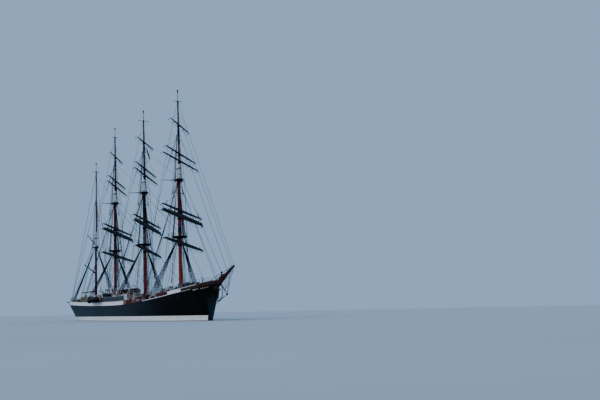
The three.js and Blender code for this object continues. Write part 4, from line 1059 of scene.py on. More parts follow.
def build_top(shape, at, z):
    """A round-fronted top with its beams, brackets, grating and rail."""
    level = along(z)
    under = level - PLATE
    shape.plate(TOP_RIM, under, level - 0.03, BLACK, at)
    shape.plate([(x * 0.95, y * 0.96) for x, y in TOP_RIM], level - 0.03, level, BROWN_GREY, at)
    for y in (-0.42, 0.42):
        shape.block(-1.45, 1.25, y - 0.07, y + 0.07, under - 0.26, under + 0.01, BLACK, at)
    for x in (-1, 0.35):
        shape.box(x, 0, 0.07, 1.7, under - 0.2, under + 0.01, BLACK, at)
    for y in (-1.6, -0.9, 0.9, 1.6):
        shape.bar((-0.35, y * 0.25, level - 1.9), (-0.6, y, under), 0.05, BLACK, at=at)
    for side in (1, -1):
        posts = [(x, side * y) for x, y in ((0.1, 1.9), (-1.5, 1.9), (-1.5, 0.7))]
        for x, y in posts + [(-0.7, side * 1.9)]:
            shape.bar((x, y, level), (x, y, level + 1.0), 0.03, BLACK, at=at)
        for rise in (0.5, 1.0):
            shape.tube([(x, y, level + rise) for x, y in posts], 0.026, BLACK, at=at)
    shape.bar((-1.5, -0.7, level + 1.0), (-1.5, 0.7, level + 1.0), 0.026, BLACK, at=at)


def build_lower_mast(name, x, level):
    shape = Shape()
    at = mast_at(x)
    deck_z = sheer(x) + level
    spar_in_zones(shape, lower_radius, deck_z - 0.1, LOWER_ZONES[name], LOWER_AXIS, at)
    for z in LOWER_BANDS:
        mast_band(shape, z, lower_radius(z), LOWER_AXIS, at, BLACK)
    mast_band(shape, deck_z + 0.2, lower_radius(deck_z), LOWER_AXIS, at, GREY, 0.4, 0.09)
    mast_band(shape, deck_z + 1.5, lower_radius(deck_z), LOWER_AXIS, at, BLACK, 0.1, 0.16)
    pins = at @ spot(LOWER_AXIS, 0, along(deck_z + 1.5))
    for turn in circle(12):
        px, py = 0.6 * math.cos(turn), 0.6 * math.sin(turn)
        shape.bar((px, py, -0.22), (px, py, 0.28), 0.025, BROWN, 5, pins)
    build_top(shape, at, TOP_Z)
    head = along(HEAD_Z)
    shape.plate(CAP_RIM, head - 0.02, head + PLATE, BLACK, at)
    for y in (-0.3, 0.3):
        shape.bar((0.3, y, head - 1.6), (0.3, y, head), 0.04, CREAM, at=at)
    for z in (36.4, 37.3):
        mast_band(shape, z, lower_radius(z), LOWER_AXIS, at, WHITE, 0.18)
    for k in range(RUNGS):
        z = RUNG_FOOT_Z + RUNG_STEP * k
        back = LOWER_AXIS - lower_radius(z)
        rung = [(back, -0.2), (back - 0.14, -0.18), (back - 0.14, 0.18), (back, 0.2)]
        shape.tube([(px, py, along(z)) for px, py in rung], 0.018, BLACK, 5, at)
    shape.make(f"{name}_lower_mast_and_top", replaces=(f"{name}_lower_mast",))


def build_crosstrees(name, x):
    shape = Shape(BLACK)
    at = mast_at(x)
    low = along(TREE_Z) - PLATE
    shape.plate(TREE_RIM, low, low + PLATE, BLACK, at)
    for y in (-0.62, 0.62):
        shape.block(-0.9, 0.95, y - 0.08, y + 0.08, low - 0.35, low + 0.01, BLACK, at)
    for bar_x in (-0.75, 0.15, 0.8):
        shape.box(bar_x, 0, 0.06, 1.05, low - 0.12, low + 0.01, BLACK, at)
    for side in (1, -1):
        tip = Vector((OUTRIGGER[0], side * OUTRIGGER[1], low + PLATE / 2 + OUTRIGGER[2]))
        root = Vector((-0.7, side * 0.7, low + PLATE / 2))
        shape.tube([root, root.lerp(tip, 0.55) - up(0.04), tip], (0.1, 0.085, 0.06), BLACK, 8, at)
        shape.bar(root + Vector((0.2, 0, -0.5)), root.lerp(tip, 0.5), 0.035, BLACK, at=at)
        for y in (0.5, 1.0):
            shape.bar((-0.9, side * y, low + PLATE), (-0.9, side * y, low + 0.9), 0.025, BLACK, 5, at)
        block_on(shape, at @ Vector((-0.5, side * 0.85, low - 0.45)), 0.2)
        block_on(shape, at @ Vector((0.75, side * 0.45, low - 0.5)), 0.18)
        block_on(shape, at @ (tip + up(0.05)), 0.11)
    for side in (1, -1):
        swing = Vector((-0.75, side * 1.3, low - 2.4))
        shape.bar((-0.6, side * 1.0, low), swing, 0.035, WIRE, 5, at)
        shape.tube([swing, swing + Vector((-0.08, side * 0.16, -1.25))], (0.11, 0.14), BLACK, 8, at)
    shape.turned(TREE_CORE, DARK_RED, 20, at @ spot(LOWER_AXIS, 0, low))
    shape.make(f"{name}_crosstree_frame", replaces=(f"{name}_crosstrees",))


def build_pole(shape, axis, truck_z, reach):
    """The thin pole over a mast's shoulder, its button, and the band and bar below it."""
    truck = along(truck_z)
    shoulder = truck - POLE
    shape.turned([(0.085, shoulder - 0.1), (0.06, truck - 0.5)], BROWN_GREY, 12, axis)
    shape.turned([(r, truck - 0.1 + z) for r, z in TRUCK_BUTTON], DUSK, 16, axis)
    shape.turned([(r, shoulder + z) for r, z in SHOULDER_BAND], DUSK, 16, axis)
    shape.box(0, 0, 0.05, reach, shoulder - 0.16, shoulder - 0.05, BLACK, axis)
    for side in (1, -1):
        block_on(shape, axis @ Vector((0, side * (reach - 0.08), shoulder - 0.2)), 0.09)


def build_topgallant(name, x):
    shape = Shape()
    at = mast_at(x)
    axis = at @ spot(UPPER_AXIS, 0, 0)
    spar_in_zones(shape, upper_radius, TREE_Z + 0.05, UPPER_ZONES[name], UPPER_AXIS, at, 24)
    build_pole(shape, axis, TRUCK_Z, TRUCK_BARS[name])
    for z in UPPER_BANDS:
        mast_band(shape, z, upper_radius(z), UPPER_AXIS, at, DUSK if z > 39 else WHITE, sides=24)
    shape.turned([(r, along(z)) for r, z in ROYAL_LUMP], DUSK, 20, axis)
    for side in (1, -1):
        block_on(shape, axis @ Vector((-0.1, side * 0.45, along(46.8))), 0.15)
        shape.bar((0, side * 0.2, along(47.4)), (-0.1, side * 0.45, along(46.9)), 0.03, DUSK, 5, axis)
        block_on(shape, axis @ Vector((-0.1, side * 0.38, along(38.3))), 0.14, WHITE)
    foot = along(TREE_Z)
    shape.box(0, 0, 0.26, 0.26, foot + 0.03, foot + 0.5, CREAM, axis)
    shape.make(f"{name}_topgallant_spar", replaces=(f"{name}_topgallant_mast",))


# Yards with their furled sails

Yard = namedtuple("Yard", "name z length radius furl ahead sail lumps gaskets paint lift struts")
YARDS = [Yard(*row) for row in (
    # name, height, length, radius, furled sail's top over the axis, ahead of the mast, sail, its lumpiness,
    # gasket spacing, paint, rise of its lifts, struts (part of the half length, height)
    # Every yard but the lower topsail carries the furled canvas painted dark as painted shade.
    ("course", 18.7, 29.8, 0.29, 0.56, 1.3, SAIL_PAINTED_SHADE, 0.10, 1.25, SPAR, 0.85, ((-0.82, 1.15), (0.82, 0.6))),
    ("lower_topsail", 25.4, 29.6, 0.29, 0.92, 1.15, SAIL, 0.24, 1.15, SPAR, 0, ((-0.72, 0.9), (0.8, 0.8))),
    ("upper_topsail", 27.05, 27.4, 0.26, 0.36, 1.1, SAIL_PAINTED_SHADE, 0.09, 1.15, SPAR, 4.9,
     ((-0.83, 1.15), (0.83, 1.15))),
    ("lower_topgallant", 39.8, 24.2, 0.2, 0.28, 0.66, SAIL_PAINTED_SHADE, 0.07, 1.1, YARD, 0, ()),
    ("upper_topgallant", 41.65, 21.7, 0.19, 0.26, 0.64, SAIL_PAINTED_SHADE, 0.07, 1.1, YARD, 4.2, ()),
    ("royal", 49.3, 15.6, 0.15, 0.2, 0.52, SAIL_PAINTED_SHADE, 0.06, 1.0, YARD, 3.3, ()),
)]
SAIL_COVER = 0.94
# Places of the bands and blocks as parts of the half length
YARD_BANDS = (-0.97, -0.78, -0.5, -0.24, 0, 0.24, 0.5, 0.78, 0.97)
YARD_BLOCKS = (-0.62, -0.36, 0.36, 0.62)
PARREL = ((0, -0.18), (0.1, -0.18), (0.12, -0.1), (0.12, 0.1), (0.1, 0.18), (0, 0.18), (0, -0.18))


def spar_radius(radius, part):
    """Radius of a yard at a part of its half length."""
    part = abs(part)
    if part < 0.2:
        return radius
    if part < 0.55:
        return radius * (1 - 0.15 * (part - 0.2) / 0.35)
    return radius * (0.85 - 0.4 * (part - 0.55) / 0.45)


def bundle_size(yard, part):
    """Half depth of a furled sail and the height of its middle, at a part of its half length."""
    deep = (yard.furl + 0.3 * yard.radius) / 2
    part = abs(part)
    share = 1 - 0.2 * max(part - 0.12, 0) / 0.48 if part < 0.6 else 0.8 - 0.35 * (part - 0.6) / 0.4
    return deep * share, yard.furl - deep


def build_sail(mast, seed, yard, at, body):
    """A sail rolled up on its yard in lumps between the gaskets that lash it; the seed varies them."""
    shape = Shape(yard.sail, ROPE)
    half = yard.length / 2 * SAIL_COVER
    count = int(half * 2 / 0.22)
    rows = []
    for i in range(count + 1):
        part = -1 + 2 * i / count
        y = part * half
        deep, middle = bundle_size(yard, part)
        pinch = 1 - 0.16 * max(0.0, math.cos(2 * math.pi * y / yard.gaskets)) ** 8
        closing = min(1.0, (1 - abs(part)) * half / 0.35 + 0.25)
        row = []
        for turn in circle(14):
            c, s = math.cos(turn), math.sin(turn)
            place = Vector((y * 1.3, c * 1.2 + seed * 7.3, s * 1.2 + seed * 3.1))
            wave = noise.fractal(place, 0.9, 2.0, 4) * yard.lumps
            reach = (deep * (pinch - 0.05) + wave * min(1.0, deep * 3.5)) * closing
            reach = min(max(reach, deep * 0.45 * closing), deep * 1.12)
            row.append((yard.ahead + 0.1 * yard.radius + 0.75 * reach * c, y, middle + reach * s))
        rows.append(row)
    shape.closed_grid(rows, yard.sail)
    steps = int(half / yard.gaskets)
    for i in range(-steps, steps + 1):
        y = i * yard.gaskets
        deep, middle = bundle_size(yard, y / half)
        wide = spar_radius(yard.radius, y / (yard.length / 2))
        low, high = -wide - 0.02, middle + deep * 0.93
        across = max(wide, 0.72 * deep) + 0.02
        ring = []
        for turn in circle(12, True):
            z = (high + low) / 2 + (high - low) / 2 * math.sin(turn)
            ring.append((yard.ahead + across * math.cos(turn), y + 0.03 * math.sin(3 * turn), z))
        shape.tube(ring, 0.028, ROPE if i % 3 == 0 else yard.sail, 4, caps=False)
    shape.points = [at @ p for p in shape.points]
    shape.make(f"{mast}_{yard.name}_furled_sail", body, angle=60)


def build_yard_ropes(shape, yard, at, side, wide):
    """The footrope, jackstay, brace pendant and lift on one side of a yard."""
    half, ahead = yard.length / 2, yard.ahead
    path = []
    for i in range(13):
        part = 0.06 + 0.92 * i / 12
        dip = 0.95 * math.sin(math.pi * i / 12) ** 0.35 * (0.86 + 0.14 * math.cos(i * math.pi * 2 / 3))
        path.append((ahead - 0.12, side * part * half, -dip - 0.1))
    shape.tube(path, 0.022, BLACK, 4, at)
    for i in (3, 6, 9):
        shape.bar((ahead - 0.1, path[i][1], 0), path[i], 0.018, BLACK, 4, at)
    jackstay = []
    for part in (0.03, 0.5, 0.95):
        over = spar_radius(yard.radius, part) + 0.05
        jackstay.append((ahead + 0.4 * yard.radius, side * part * half, over))
    shape.tube(jackstay, 0.02, BLACK, 4, at)
    tip = Vector((ahead, side * half * 0.985, 0.0))
    shape.bar(tip, tip + Vector((-0.5, 0, -0.25)), 0.03, BLACK, 5, at)
    block_on(shape, at @ (tip + Vector((-0.55, 0, -0.28))), 0.13)
    if yard.lift:
        hook = Vector((ahead - 0.2, side * 0.05, yard.lift))
        shape.bar(tip, hook, 0.022, WIRE, 4, at)
        shape.bar((wide + 0.03, side * 0.05, yard.lift), hook, 0.035, BLACK, 5, at)
        shape.ring((0, 0, yard.lift), wide + 0.05, 0.03, BLACK, at=at)


def build_yard(mast, mast_x, yard, brace, seed):
    body = f"{mast}_{yard.name}_yard"
    low = yard.z < HEAD_Z
    axis = spot(LOWER_AXIS if low else UPPER_AXIS, 0, along(yard.z), "Z", math.radians(brace))
    at = mast_at(mast_x) @ axis
    shape = Shape(yard.paint)
    wide = lower_radius(yard.z) if low else upper_radius(yard.z)
    bore = wide + 0.02
    half, ahead = yard.length / 2, yard.ahead
    shape.turned([(bore + out, z) for out, z in PARREL], BLACK, 24, at)
    shape.block(bore + 0.04, ahead, -0.12, 0.12, -0.12, 0.12, BLACK, at)
    for side in (1, -1):
        end = (ahead - yard.radius * 0.6, side * 0.95, 0)
        shape.bar((bore + 0.06, side * 0.12, 0), end, 0.055, BLACK, at=at)
    spar = at @ spot(ahead, 0, 0, "X", -math.pi / 2)
    parts = [-1 + i / 12 for i in range(25)]
    body_profile = [(spar_radius(yard.radius, part), part * half) for part in parts]
    shape.turned([(0, -half), *body_profile, (0, half)], yard.paint, 20, spar)
    for part in YARD_BANDS:
        r = spar_radius(yard.radius, part)
        band_profile = [(r, -0.07), (r + 0.03, -0.05), (r + 0.03, 0.05), (r, 0.07)]
        shape.turned(band_profile, BLACK, 20, spar @ spot(0, 0, part * half))
    for part in YARD_BLOCKS:
        r = spar_radius(yard.radius, part)
        block_on(shape, at @ Vector((ahead, part * half, -r - 0.24)), 0.15)
        shape.bar((ahead, part * half, -r), (ahead, part * half, -r - 0.15), 0.025, BLACK, 5, at)
    for side in (1, -1):
        build_yard_ropes(shape, yard, at, side, wide)
    for part, tall in yard.struts:
        foot = Vector((ahead, part * half, spar_radius(yard.radius, part)))
        inward = (-0.9 if part > 0 else 0.9) * tall / 1.15
        shape.tube([foot, foot + Vector((0, inward, tall))], (0.09, 0.07), BLACK, at=at)
    if yard.name == "lower_topsail":
        shape.ring((ahead, half * 0.93, -0.05), 0.45, 0.06, BLACK, "X", 14, at)
    shape.make(f"{body}_spar", body, (body,))
    build_sail(mast, seed, yard, at, body)


# Jigger mast, gaffs and boom

PIN_AXIS = LOWER_AXIS - PIN_BACK
GAFFS = (
    # name, height of the gooseneck, far end's distance aft and its height over it, radius, body,
    # paint, rise of its lift
    ("upper_gaff", 24.3, 8.0, 4.2, 0.15, "upper_gaff", DUSK, 0),
    ("lower_gaff", 15.1, 11.7, 4.0, 0.18, "lower_gaff", DUSK, 6.6),
    ("spanker_boom", 9.3, 15.4, 0.7, 0.2, "boom", DARK_RED, 3.6),
)
GAFF_PIN = ((0, -0.3), (0.1, -0.29), (0.07, -0.25), (0.07, 0.25), (0.1, 0.29), (0, 0.3))
GAFF_EYE = ((0.075, -0.17), (0.15, -0.17), (0.15, 0.17), (0.075, 0.17), (0.075, -0.17))


def build_jigger():
    at = mast_at(JIGGER_X)
    deck_z = sheer(JIGGER_X) + POOP_DECK
    shape = Shape()
    spar_in_zones(shape, jigger_radius, deck_z - 0.1, LOWER_ZONES["jigger"], LOWER_AXIS, at)
    mast_band(shape, deck_z + 0.2, jigger_radius(deck_z), LOWER_AXIS, at, GREY, 0.4, 0.08)
    for z in (11.8, 17.2, 20.4, 22.6):
        mast_band(shape, z, jigger_radius(z), LOWER_AXIS, at, BLACK)
    level = along(JIGGER_TOP_Z)
    under = level - PLATE
    shape.plate(TREE_RIM, under, level, BLACK, at)
    for y in (-0.5, 0.5):
        shape.box(0, y, 0.95, 0.06, under - 0.25, under + 0.01, BLACK, at)
        shape.bar((-0.95, y * 2, level), (-0.95, y * 2, level + 0.9), 0.025, BLACK, 5, at)
    shape.bar((-0.95, -1, level + 0.9), (-0.95, 1, level + 0.9), 0.025, BLACK, 5, at)
    head = along(JIGGER_HEAD_Z)
    shape.plate(CAP_RIM, head - 0.02, head + PLATE, BLACK, at)
    for y in (-0.55, 0.55):
        block_on(shape, at @ Vector((-0.6, y, level - 0.5)), 0.17)
    for _, z, *_ in GAFFS:
        for rise in (along(z) - 0.24, along(z) + 0.24):
            shape.block(PIN_AXIS - 0.12, LOWER_AXIS - 0.1, -0.12, 0.12, rise - 0.05, rise + 0.05, BLACK, at)
        shape.turned(GAFF_PIN, BLACK, 16, at @ spot(PIN_AXIS, 0, along(z)))
    shape.make("jigger_lower_mast_and_top", replaces=("jigger_lower_mast",))
    shape = Shape()
    axis = at @ spot(UPPER_AXIS, 0, 0)
    spar_in_zones(shape, jigger_upper_radius, JIGGER_TOP_Z + 0.05, UPPER_ZONES["jigger"], UPPER_AXIS, at, 24)
    build_pole(shape, axis, JIGGER_TRUCK_Z, TRUCK_BARS["jigger"])
    shape.box(0, 0, 0.26, 0.26, level + 0.03, level + 0.5, BROWN_GREY, axis)
    for z in (33.0, 37.2, 42.0):
        mast_band(shape, z, jigger_upper_radius(z), UPPER_AXIS, at, DUSK, sides=24)
    shape.make("jigger_topmast_spar", replaces=("jigger_topmast",))


def build_gaffs():
    for name, z, aft, rise, radius, body, kind, _ in GAFFS:
        axis = mast_at(JIGGER_X) @ spot(PIN_AXIS, 0, along(z))
        shape = Shape(YARD)
        shape.turned(GAFF_EYE, BLACK, 20, axis)
        far = Vector((-aft, 0, rise))
        way = far.normalized()
        near = way * 0.13
        parts = [i / 10 for i in range(1, 11)]
        path = [near, near + way * 0.4] + [near.lerp(far, part) for part in parts]
        radii = [radius * 0.5, radius] + [radius * (1 - 0.4 * part ** 1.5) for part in parts]
        shape.tube(path, radii, kind, 16, axis)
        for part in (0.12, 0.4, 0.7, 0.96):
            r = radius * (1 - 0.4 * part ** 1.5)
            middle = near.lerp(far, part)
            shape.bar(middle - way * 0.06, middle + way * 0.06, r + 0.03, BLACK, 16, axis)
            block_on(shape, axis @ (middle - up(r + 0.16)), 0.13)
        shape.make(f"{name}_spar", body, (name,))


# Boats

BOAT_DEPTH = 0.8
BOAT_RIDGE = 0.72
BOAT_LENGTH = 8.4
BOAT_HALF = 1.35
BOAT_ROOF = HOUSE_ROOFS["poop_house"]
COVERED_BOATS = (("boat_aft", -10.6), ("boat_forward", -1.9))
ROOF_DAVITS = (-14.2, -7.0, -5.4, 1.8)
# Work boat: x, y, length, half width, height of its gunwale over the deck
WORK_BOAT = (-12.0, -8.5, 9.6, 0.95, 0.7)
DAVIT_SPREAD = 3.1
DAVIT_PATH = (
    # y, height over the deck amidships of the boat, radius
    (-6.9, 1.55, 0.16), (-6.98, 1.85, 0.15), (-7.3, 2.12, 0.15), (-7.6, 2.25, 0.14), (-8.1, 2.2, 0.13),
    (-8.5, 2.0, 0.11),
)
FENDER = ((0, -0.5), (0.12, -0.44), (0.16, 0), (0.12, 0.24), (0, 0.28))


def boat_form(shape, at, length, half, kind):
    """A ship's boat with a strake line, gunwale and a peaked cover laced over it."""
    count = 32
    skins, tops = [], []
    for i in range(count + 1):
        part = i / count
        x = (part - 0.5) * length
        fat = 1 - abs(2 * part - 1) ** 2.4
        wide = max(0.05, half * fat)
        spring = 0.28 * BOAT_DEPTH * abs(2 * part - 1) ** 2.2
        row = []
        for k in range(9):
            down = k / 8
            y = wide * (1 - 0.97 * down ** 2.6) * (1 - 0.04 * math.sin(down * math.pi * 6))
            row.append((x, y, spring - BOAT_DEPTH * down * (0.95 + 0.05 * fat) + 0.02 * math.sin(down * 9)))
        skins.append(row + [(px, -py, pz) for px, py, pz in reversed(row)])
        peak = BOAT_RIDGE * (1 - 0.5 * abs(2 * part - 1) ** 2)
        sag = 0.05 * (0.5 - 0.5 * math.cos(2 * math.pi * x / 1.4))
        top = []
        for k in range(9):
            a = -1 + k / 4
            crown = peak * (1 - abs(a) ** 1.6) - sag * (1 - a * a)
            top.append((x, wide * 1.04 * a, spring + 0.06 + crown))
        tops.append(top)
    shape.grid(skins, kind, at=at)
    shape.grid(tops, kind, at=at)
    around = tuple(range(len(skins[0])))
    shape.add(skins[0], [around], kind, at)
    shape.add(skins[-1], [around[::-1]], kind, at)
    for side in (0, -1):
        rim = [row[side] for row in tops]
        shape.grid([rim, [(x, y, z - 0.14) for x, y, z in rim]], kind, at=at, flip=side == 0)
        shape.tube([(x, y * 1.01, z - 0.15) for x, y, z in rim], 0.045, BLACK, at=at)
    for i in range(4, count - 2, 4):
        shape.tube([(x, y, z + 0.015) for x, y, z in tops[i][::2]], 0.016, ROPE, 4, at)


def build_covered_boats():
    roof = BOAT_ROOF
    for name, x in COVERED_BOATS:
        shape = Shape()
        boat_form(shape, spot(x, 0, roof + 0.95), BOAT_LENGTH, BOAT_HALF, COVER_RED)
        for chock_x in (x - 2.4, x + 2.4):
            shape.box(chock_x, 0, 0.12, 0.9, roof + 0.003, roof + 0.42, WHITE)
            for side in (1, -1):
                shape.bar((chock_x, side * 0.85, roof + 0.3), (chock_x, side * 1.2, roof + 0.75), 0.07, WHITE)
        shape.make(f"{name}_covered", replaces=(name,), angle=50)
    shape = Shape(WHITE)
    for x in ROOF_DAVITS:
        for side in (1, -1):
            foot = Vector((x, side * 2.75, roof))
            arm = ((0, 0), (0, 1.5), (0.15, 2.1), (0.6, 2.45), (1.2, 2.5))
            path = [foot + Vector((0, -side * inward, rise)) for inward, rise in arm]
            shape.tube(path, (0.1, 0.09, 0.085, 0.075, 0.06), WHITE, 8)
            shape.turned([(0.2, 0), (0.2, 0.05), (0.1, 0.18)], WHITE, 10, Matrix.Translation(foot))
            block_on(shape, path[-1] - up(0.2), 0.12)
            shape.bar(path[-1] - up(0.1), (x, side * 1.15, roof + 1.3), 0.02, PALE_ROPE, 4)
    shape.make("boat_davits")


def build_work_boat():
    x, y, length, half, rise = WORK_BOAT
    deck_z = sheer(x) + POOP_DECK
    shape = Shape()
    at = spot(x, y, deck_z + rise)
    boat_form(shape, at, length, half, BLACK)
    shape.block(-4.35, -3.35, -0.3, 0.3, -0.15, 0.95, BLACK, at, 0.12)
    shape.block(-4.2, -3.75, -0.16, 0.16, -0.95, -0.1, BLACK, at, 0.06)
    shape.block(2.2, 3.1, -0.35, 0.35, 0.3, 1.0, BLACK, at, 0.14)
    for side in (1, -1):
        for i in range(9):
            fender_x = -3.8 + 0.95 * i
            wide = half * (1 - abs(2 * fender_x / length) ** 2.4)
            shape.turned(FENDER, BLACK, 8, at @ spot(fender_x, side * (wide + 0.03), -0.3))
    for davit_x in (x - DAVIT_SPREAD, x + DAVIT_SPREAD):
        foot = (davit_x, DAVIT_PATH[0][0], sheer(davit_x) + POOP_DECK)
        path = [foot] + [(davit_x, py, deck_z + pz) for py, pz, _ in DAVIT_PATH]
        shape.tube(path, [0.17] + [radius for *_, radius in DAVIT_PATH], WHITE, 10)
        shape.turned([(0.24, 0), (0.24, 0.06), (0.13, 0.3)], WHITE, 12, spot(*foot))
        shape.bar((davit_x, y, deck_z + 2.0), (davit_x, y, deck_z + rise + 0.3), 0.04, PALE_ROPE)
        block_on(shape, (davit_x, y, deck_z + 1.8), 0.14)
        block_on(shape, (davit_x, y, deck_z + rise + 0.5), 0.13)
    shape.make("work_boat_in_davits", replaces=("work_boat",), angle=50)


# Bowsprit and bow gear

STRIKER_TOP = Vector((54.7, 0, 8.5))
STRIKER_END = Vector((58.1, 0, 5.8))
# Zones of paint on the bowsprit: from step, to step, paint
SPRIT_ZONES = ((0, 4, BOW_BROWN), (4, 9, SPRIT_MAROON), (9, 13, SPRIT_RED), (13, 16, DUSK))
SPRIT_BANDS = (53.9, 57.0, 59.4, 61.2)
SPRIT_POST = Vector((55.3, 0, 10.75))
SPRIT_FOOT_X = 51.5
SPRIT_STEPS = 16
HEADSAIL_X = (52.6, 60.9)
BOBSTAY_LOOP = (
    (54.6, 0, 7.0), (53.2, 0, 6.2), (52.55, 0, 5.2), (53.0, 0, 4.55), (54.0, 0, 4.5), (55.1, 0, 5.1),
    (55.75, 0, 5.9), (55.5, 0, 7.7),
)
BOW_STAYS = (
    # start, end, radius
    ((61.2, 0, 11.45), STRIKER_END, 0.045),
    ((59.4, 0, 10.5), STRIKER_END, 0.04),
    ((57.0, 0, 9.4), (57.35, 0, 6.4), 0.035),
    (STRIKER_END, (50.7, 0.35, 3.4), 0.05),
    (STRIKER_END, (50.7, -0.35, 3.4), 0.05),
    ((59.0, 0, 7.85), (56.6, 0, 6.9), 0.06),
    ((59.0, 0, 7.85), (59.4, 0, 10.4), 0.03),
    ((55.3, 0, 10.6), (61.0, 0, 12.0), 0.03),
    ((55.3, 0, 10.6), (49.9, 0, 9.5), 0.03),
)
ANCHOR_X = 47.6
ANCHOR_POINTS = (
    # from the shank's line along the ship, height, out from the plating
    (0, 6.9, 0.14), (0, 5.1, 0.22), (-0.62, 5.1, 0.18), (0.62, 5.1, 0.18), (-0.68, 6.2, 0.16),
    (0.68, 6.2, 0.16),
)


def sprit_at(x):
    """The bowsprit's middle and its radius."""
    part = (x - SPRIT_HEEL.x) / (SPRIT_TIP.x - SPRIT_HEEL.x)
    return SPRIT_HEEL.lerp(SPRIT_TIP, part), SPRIT_RADIUS[0] + (SPRIT_RADIUS[1] - SPRIT_RADIUS[0]) * part


def build_bowsprit():
    shape = Shape()
    step = (SPRIT_TIP.x - SPRIT_FOOT_X) / SPRIT_STEPS
    places = [sprit_at(SPRIT_FOOT_X + step * i) for i in range(SPRIT_STEPS + 1)]
    for low, high, kind in SPRIT_ZONES:
        points, radii = zip(*places[low:high + 1])
        shape.tube(points, radii, kind, 20, caps=high == SPRIT_STEPS)
    for x in SPRIT_BANDS:
        (a, r), (b, _) = sprit_at(x - 0.12), sprit_at(x + 0.12)
        shape.bar(a, b, r + 0.05, BLACK, 20)
        for side in (1, -1):
            block_on(shape, a + Vector((0, side * (r + 0.14), 0)), 0.12)
    shape.tube([STRIKER_TOP, STRIKER_TOP.lerp(STRIKER_END, 0.5), STRIKER_END], (0.13, 0.11, 0.08), BLACK, 10)
    turns = [math.pi * (i / 10 - 0.5) for i in range(1, 10)]
    ball = [(0, -0.24)] + [(0.24 * math.cos(turn), 0.24 * math.sin(turn)) for turn in turns] + [(0, 0.24)]
    shape.turned(ball, BLACK, 16, Matrix.Translation(STRIKER_END))
    shape.tube([sprit_at(SPRIT_POST.x)[0], SPRIT_POST], (0.16, 0.12), BROWN, 10)
    block_on(shape, SPRIT_POST, 0.26, DUSK)
    shape.make("bowsprit_spar", replaces=("bowsprit",))


def build_headsails():
    """Headsails stowed in bundles on top of the bowsprit, each lashed along its length."""
    shape = Shape(SAIL_RED, ROPE)
    rows = []
    count, sides = 44, 14
    aft, fore = HEADSAIL_X
    for i in range(count + 1):
        part = i / count
        x = aft + (fore - aft) * part
        centre, radius = sprit_at(x)
        if part < 0.4:
            fat = 0.42 * math.sin(math.pi * min(1, part * 1.25 + 0.02)) ** 0.5
        else:
            fat = 0.42 - 0.3 * (part - 0.4) / 0.6
        fat = max(fat, 0.09)
        pinch = 1 - 0.22 * max(0.0, math.cos(math.pi * x / 0.62)) ** 6
        heap = 1.15 * math.exp(-((x - 55.0) / 1.7) ** 2)
        row = []
        for turn in circle(sides):
            c, s = math.cos(turn), math.sin(turn)
            wave = noise.fractal(Vector((x * 1.1, c * 1.1, s * 1.1 + 4)), 0.9, 2.0, 4)
            reach = fat * pinch + wave * 0.12 * fat / 0.4
            tall = (reach + heap * 0.5 * max(0.0, s)) * s
            over = radius * 0.9 + fat * 0.35 + tall * 0.9
            row.append(centre + Vector((-tall * 0.44, reach * 0.85 * c, over)))
        rows.append(row)
    shape.closed_grid(rows, SAIL_RED)
    for i in range(3, count, 4):
        ring = [p.lerp(sum(rows[i], Vector()) / sides, -0.04) for p in rows[i]]
        shape.tube(ring + ring[:1], 0.025, ROPE, 4, caps=False)
    shape.make("stowed_headsails", angle=60)


def chain(shape, path, size):
    """Links along a path, each turned a quarter from the last."""
    left = 0.0
    turned = False
    for a, b in zip(path, path[1:]):
        length = (b - a).length
        way = (b - a).normalized()
        side = way.cross(Vector((0, 1, 0)) if abs(way.y) < 0.9 else Vector((1, 0, 0))).normalized()
        other = way.cross(side)
        while left < length:
            across = (other if turned else side) * (size * 0.45)
            centre = a + way * left
            ring = []
            for turn in circle(8, True):
                ring.append(centre + way * (size * 0.8 * math.cos(turn)) + across * math.sin(turn))
            shape.tube(ring, size * 0.16, BLACK, 4, caps=False)
            turned = not turned
            left += size * 1.15
        left -= length


def curve(points, count):
    """A smooth curve through points."""
    points = [Vector(p) for p in points]
    found = []
    spans = len(points) - 1
    for i in range(count + 1):
        at = i / count * spans
        k = min(int(at), spans - 1)
        t = at - k
        p0, p1 = points[max(k - 1, 0)], points[k]
        p2, p3 = points[k + 1], points[min(k + 2, spans)]
        found.append(0.5 * (2 * p1 + (p2 - p0) * t + (2 * p0 - 5 * p1 + 4 * p2 - p3) * t * t
                            + (3 * p1 - p0 - 3 * p2 + p3) * t ** 3))
    return found


def build_bow_gear():
    """Chain, stays, net and rail round the bowsprit."""
    shape = Shape(BLACK, WIRE)
    chain(shape, curve(BOBSTAY_LOOP, 60), 0.3)
    for start, end, radius in BOW_STAYS:
        shape.bar(start, end, radius, WIRE)
    for side in (1, -1):
        for x, hull_x in ((61.2, 49.0), (57.0, 47.5)):
            place, radius = sprit_at(x)
            end = side_at(hull_x, sheer(hull_x) + 0.2, side)
            shape.bar(place + Vector((0, side * radius, 0)), end, 0.035, WIRE, 5)
        net = []
        for i in range(9):
            place, radius = sprit_at(53.5 + i * 0.85)
            reach = radius + 1.55 - 1.15 * i / 8
            net.append((place + Vector((0, side * radius, 0)), place + Vector((0, side * reach, -0.25))))
        for inner, outer in net:
            shape.bar(inner, outer, 0.016, WIRE, 4)
        for share, radius in ((0.33, 0.016), (0.66, 0.016), (1.0, 0.028)):
            shape.tube([inner.lerp(outer, share) for inner, outer in net], radius, WIRE, 4)
        for x in (50.8, 51.9, 53.0):
            z = sheer(x) + FORECASTLE_DECK
            y = side * rail_y(min(x, 52.6), 0) * 0.9
            shape.bar((x, y, z), (x, y, z + 0.95), 0.035, LIGHT_GREY)
    shape.make("bow_gear")


